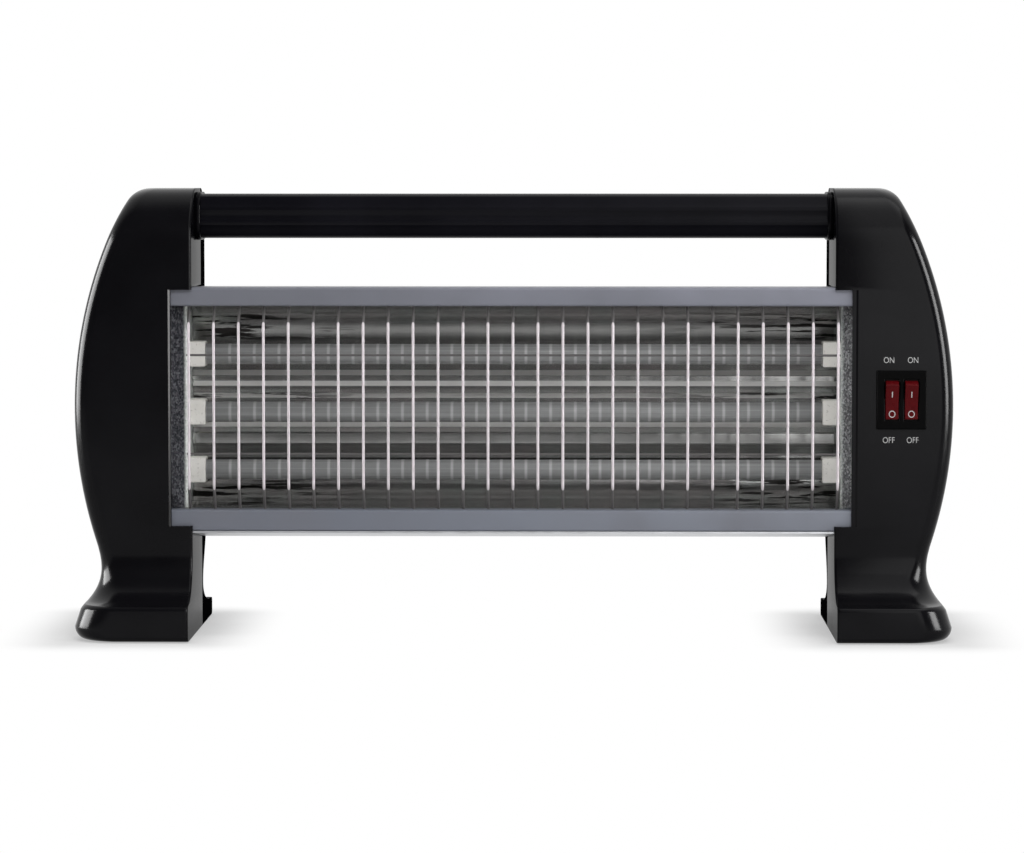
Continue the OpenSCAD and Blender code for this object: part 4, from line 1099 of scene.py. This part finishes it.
def onTilted(depth, along, pivotY, cz):
    # places of points that are given by their depth and height on the tilted rocker
    tilt = math.radians(switch["travel"]/2)
    c, n = math.cos(tilt), math.sin(tilt)
    return depth*c - along*n + pivotY, depth*n + along*c + cz


def makeMarks(node, x, pivotY, cz):
    # the bar on the upper half and the ring on the lower half, laid on the rocker's two flats
    m = mark
    slope = math.tan(math.radians(switch["travel"]/2))

    def onRocker(u, v):
        # u across, v up the rocker in millimetres from its pivot
        y, z = onTilted(-switch["valley"] - np.abs(v)*slope - m["lift"], v, pivotY, cz)
        return np.stack([x + u, y, z], -1)

    stroke = np.array([[u, v] for v in m["bar"] for u in (-m["barHalf"], m["barHalf"])])
    barMesh = fillMesh("bar", onRocker(stroke[:, 0], stroke[:, 1]), [[0, 1, 3, 2]])
    angles = np.linspace(0, 2*np.pi, m["sides"], endpoint=False)
    ring = np.concatenate([np.stack([r*np.cos(angles), r*m["tall"]*np.sin(angles) + m["ringZ"]], 1)
                           for r in m["ring"]])
    ringMesh = fillMesh("ring", onRocker(ring[:, 0], ring[:, 1]),
                        gridQuads(2, m["sides"], closed=True))
    piece(node.split("_")[0] + "RockerMarks", [barMesh, ringMesh], "print", body=node)


def wordMesh(word, x, y, z):
    # a word in plain letters, facing the front, centred on a point
    curve = bpy.data.curves.new(word, "FONT")
    curve.body = word
    curve.size = letter["height"]/letter["capShare"]
    curve.align_x = "CENTER"
    curve.offset = letter["thin"]
    thing = bpy.data.objects.new(word, curve)
    bpy.context.scene.collection.objects.link(thing)
    depsgraph = bpy.context.evaluated_depsgraph_get()
    mesh = bpy.data.meshes.new_from_object(thing.evaluated_get(depsgraph))
    bpy.data.objects.remove(thing)
    flat = np.empty(len(mesh.vertices)*3)
    mesh.vertices.foreach_get("co", flat)
    flat = flat.reshape(-1, 3)
    placed = np.column_stack([letter["narrow"]*flat[:, 0] + x, np.full(len(flat), y),
                              flat[:, 1] - letter["height"]/2 + z])*mm
    mesh.vertices.foreach_set("co", placed.ravel())
    mesh.materials.clear()
    mesh.update()
    return mesh


def makeLettering(panelY):
    # a word above and a word below each rocker, just proud of the panel
    words = [wordMesh(word, x, panelY - letter["proud"], z)
             for word, z in letter["rows"] for x in letter["columns"]]
    piece("switchLettering", words, "print")


makeSwitch()
print("switch made")


# finishes of the CAD nodes that stay
kept = {
    "left_end_plate": "zinc", "right_end_plate": "zinc", "left_terminals": "terminal",
    "right_terminals": "terminal", "switch_tabs": "brass", "terminal_block": "whitePlastic",
    "cord_inlet_bush": "rubber", "foot_pads": "rubber", "tip_switch_case": "greyPlastic",
    "tip_switch_cover": "greyPlastic", "tip_switch_weight": "brass", "switch_leads": "redSleeve",
    "supply_leads": "blueSleeve", "return_leads": "blueSleeve", "panel_screws": "screw",
    "handle_screws": "screw", "housing_screws": "screw",
}
for node, finish in kept.items():
    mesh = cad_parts[node].data
    mesh.materials.clear()
    mesh.materials.append(finishes[finish])
print("kept nodes finished")


# studio: pale floor, white beyond it, soft lamps and the photograph's camera
studio = {
    "floor": 1.5, "ambient": 0.35, "lift": 0.42, "foot": (0.172, 0.234, 0.069),
    "fade": (0.0, 0.045), "dark": 0.12, "turn": (-0.35, 0.3),
}
toCentre = (0.0, 0.0, 0.12)
lamps = [
    # soft fills light the colours
    {"name": "topFill", "place": (0.0, -0.1, 1.6), "size": (1.8, 0.8), "power": 13.0,
     "shows": "diffuse", "aim": toCentre},
    {"name": "frontFill", "place": (0.3, -2.3, 1.7), "size": (1.6, 0.9), "power": 30.0,
     "shows": "diffuse", "aim": toCentre},
    {"name": "sideFill", "place": (1.7, -0.9, 0.7), "size": (0.8, 0.8), "power": 8.0,
     "shows": "diffuse", "aim": toCentre},
    # strips and cards are for the gloss of the round edges; a strip spares the pieces whose flat
    # tops would mirror it when the heater is seen from the side
    {"name": "leftStrip", "place": (-1.72, 0.05, 0.42), "size": (1.2, 0.9), "power": 86.0,
     "shows": "glossy", "aim": (0.0, 0.0, 0.1),
     "spares": ("handleBar", "handleCaps", "rightFrontShell", "rightRearShell")},
    {"name": "rightStrip", "place": (1.6, -0.62, 0.42), "size": (0.6, 1.0), "power": 56.0,
     "shows": "glossy", "aim": toCentre, "spares": ("handleBar", "leftRearShell")},
    {"name": "rightCard", "place": (0.75, -2.3, 0.75), "size": (1.1, 2.2), "power": 18.0,
     "shows": "glossy", "aim": (0.2, 0.0, 0.3)},
    {"name": "rightRoof", "place": (0.72, -0.75, 1.85), "size": (1.15, 2.7), "power": 17.0,
     "shows": "glossy", "aim": (0.72, -0.75, 0.0)},
]
photoCamera = {"lens": 133.07, "sensor": 36.0, "place": (0.0322, -2.0615, 0.2456),
               "aim": (-0.0005, -0.0415, 0.1138)}


def seenRays(graph):
    # 1 for what the camera sees straight on, in a mirror or through glass, else 0
    camera, glossy, through = [graph.node("LightPath", output="Is %s Ray" % kind)
                               for kind in ("Camera", "Glossy", "Transmission")]
    return camera.maths("MAXIMUM", glossy).maths("MAXIMUM", through)


def makeFloor():
    # pale matt floor with a painted shadow beside the feet, where its colour is darker, that fades
    # into plain white away from them; the distance is measured from the rectangle that each panel
    # stands on
    size = studio["floor"]/mm
    corners = [[-size, -size, 0], [size, -size, 0], [size, size, 0], [-size, size, 0]]
    mesh = fillMesh("floor", corners, [[0, 1, 2, 3]])
    floor = bpy.data.objects.new("floor", mesh)
    bpy.context.scene.collection.objects.link(floor)
    f = Finish("paleFloor", Roughness=0.9, Specular_IOR_Level=0.0)
    inX, outX, halfY = studio["foot"]
    x, y = abs(f.axis("X")), abs(f.axis("Y"))
    x = (x - outX).maths("MAXIMUM", inX - x).maths("MAXIMUM", 0.0)
    y = (y - halfY).maths("MAXIMUM", 0.0)
    paintedShadowFade = ((x*x + y*y)**0.5).between(*studio["fade"])
    plain = f.blend(f.noise(3.0), (0.79, 0.79, 0.79), (0.81, 0.81, 0.81))
    # painted shadow: the floor's colour is darker close to the feet
    f.set(Base_Color=f.blend(paintedShadowFade, (0.60, 0.60, 0.60), plain))
    glow = f.node("Emission", {}, {"Color": (1.0, 1.0, 1.0), "Strength": 1.0})
    f.mixIn(seenRays(f)*(studio["lift"] + (1.0 - studio["lift"])*paintedShadowFade), glow)
    mesh.materials.append(f.material)


def makeWorld():
    # the light from all round is dim; gloss sees a dim room in front of the heater and a white
    # wall behind it, and the camera sees plain white
    world = bpy.data.worlds.new("studio")
    bpy.context.scene.world = world
    world.use_nodes = True
    g = Graph(world.node_tree)
    white = (1.0, 1.0, 1.0)
    dim = g.node("Background", {}, {"Color": white, "Strength": studio["ambient"]})
    behind = g.node("SeparateXYZ", {}, [g.node("TexCoord", output="Generated")], "Y")
    room = behind.between(*studio["turn"], studio["dark"], 1.0)
    strength = room.maths("MAXIMUM", g.node("LightPath", output="Is Camera Ray"))
    bright = g.node("Background", {}, {"Color": white, "Strength": strength})
    g.mix(seenRays(g), dim, bright, "World Output")


def softbox(name, place, size, power, shows, aim, spares=()):
    # a rectangular lamp that lights either the colours or the gloss
    data = bpy.data.lights.new(name, "AREA")
    data.shape = "RECTANGLE"
    data.size, data.size_y = size
    data.energy = power
    lamp = bpy.data.objects.new(name, data)
    bpy.context.scene.collection.objects.link(lamp)
    lamp.location = place
    lamp.rotation_euler = (Vector(aim) - Vector(place)).to_track_quat("-Z", "Y").to_euler()
    lamp.visible_diffuse = shows == "diffuse"
    lamp.visible_glossy = shows == "glossy"
    if spares:
        leftOut = bpy.data.collections.new(name + "Spares")
        for pieceName in spares:
            leftOut.objects.link(bpy.data.objects[pieceName])
        lamp.light_linking.receiver_collection = leftOut
        for row in leftOut.collection_objects:
            row.light_linking.link_state = "EXCLUDE"


def makeCamera():
    # stands at its place and looks at its aim without rolling
    c = photoCamera
    data = bpy.data.cameras.new("camera")
    data.sensor_width = c["sensor"]
    data.lens = c["lens"]
    camera = bpy.data.objects.new("camera", data)
    bpy.context.scene.collection.objects.link(camera)
    camera.location = c["place"]
    away = Vector(c["aim"]) - Vector(c["place"])
    camera.rotation_euler = away.to_track_quat("-Z", "Y").to_euler()
    bpy.context.scene.camera = camera


makeFloor()
makeWorld()
for lamp in lamps:
    softbox(**lamp)
makeCamera()
bpy.context.scene.view_settings.view_transform = "Standard"
print("studio made")
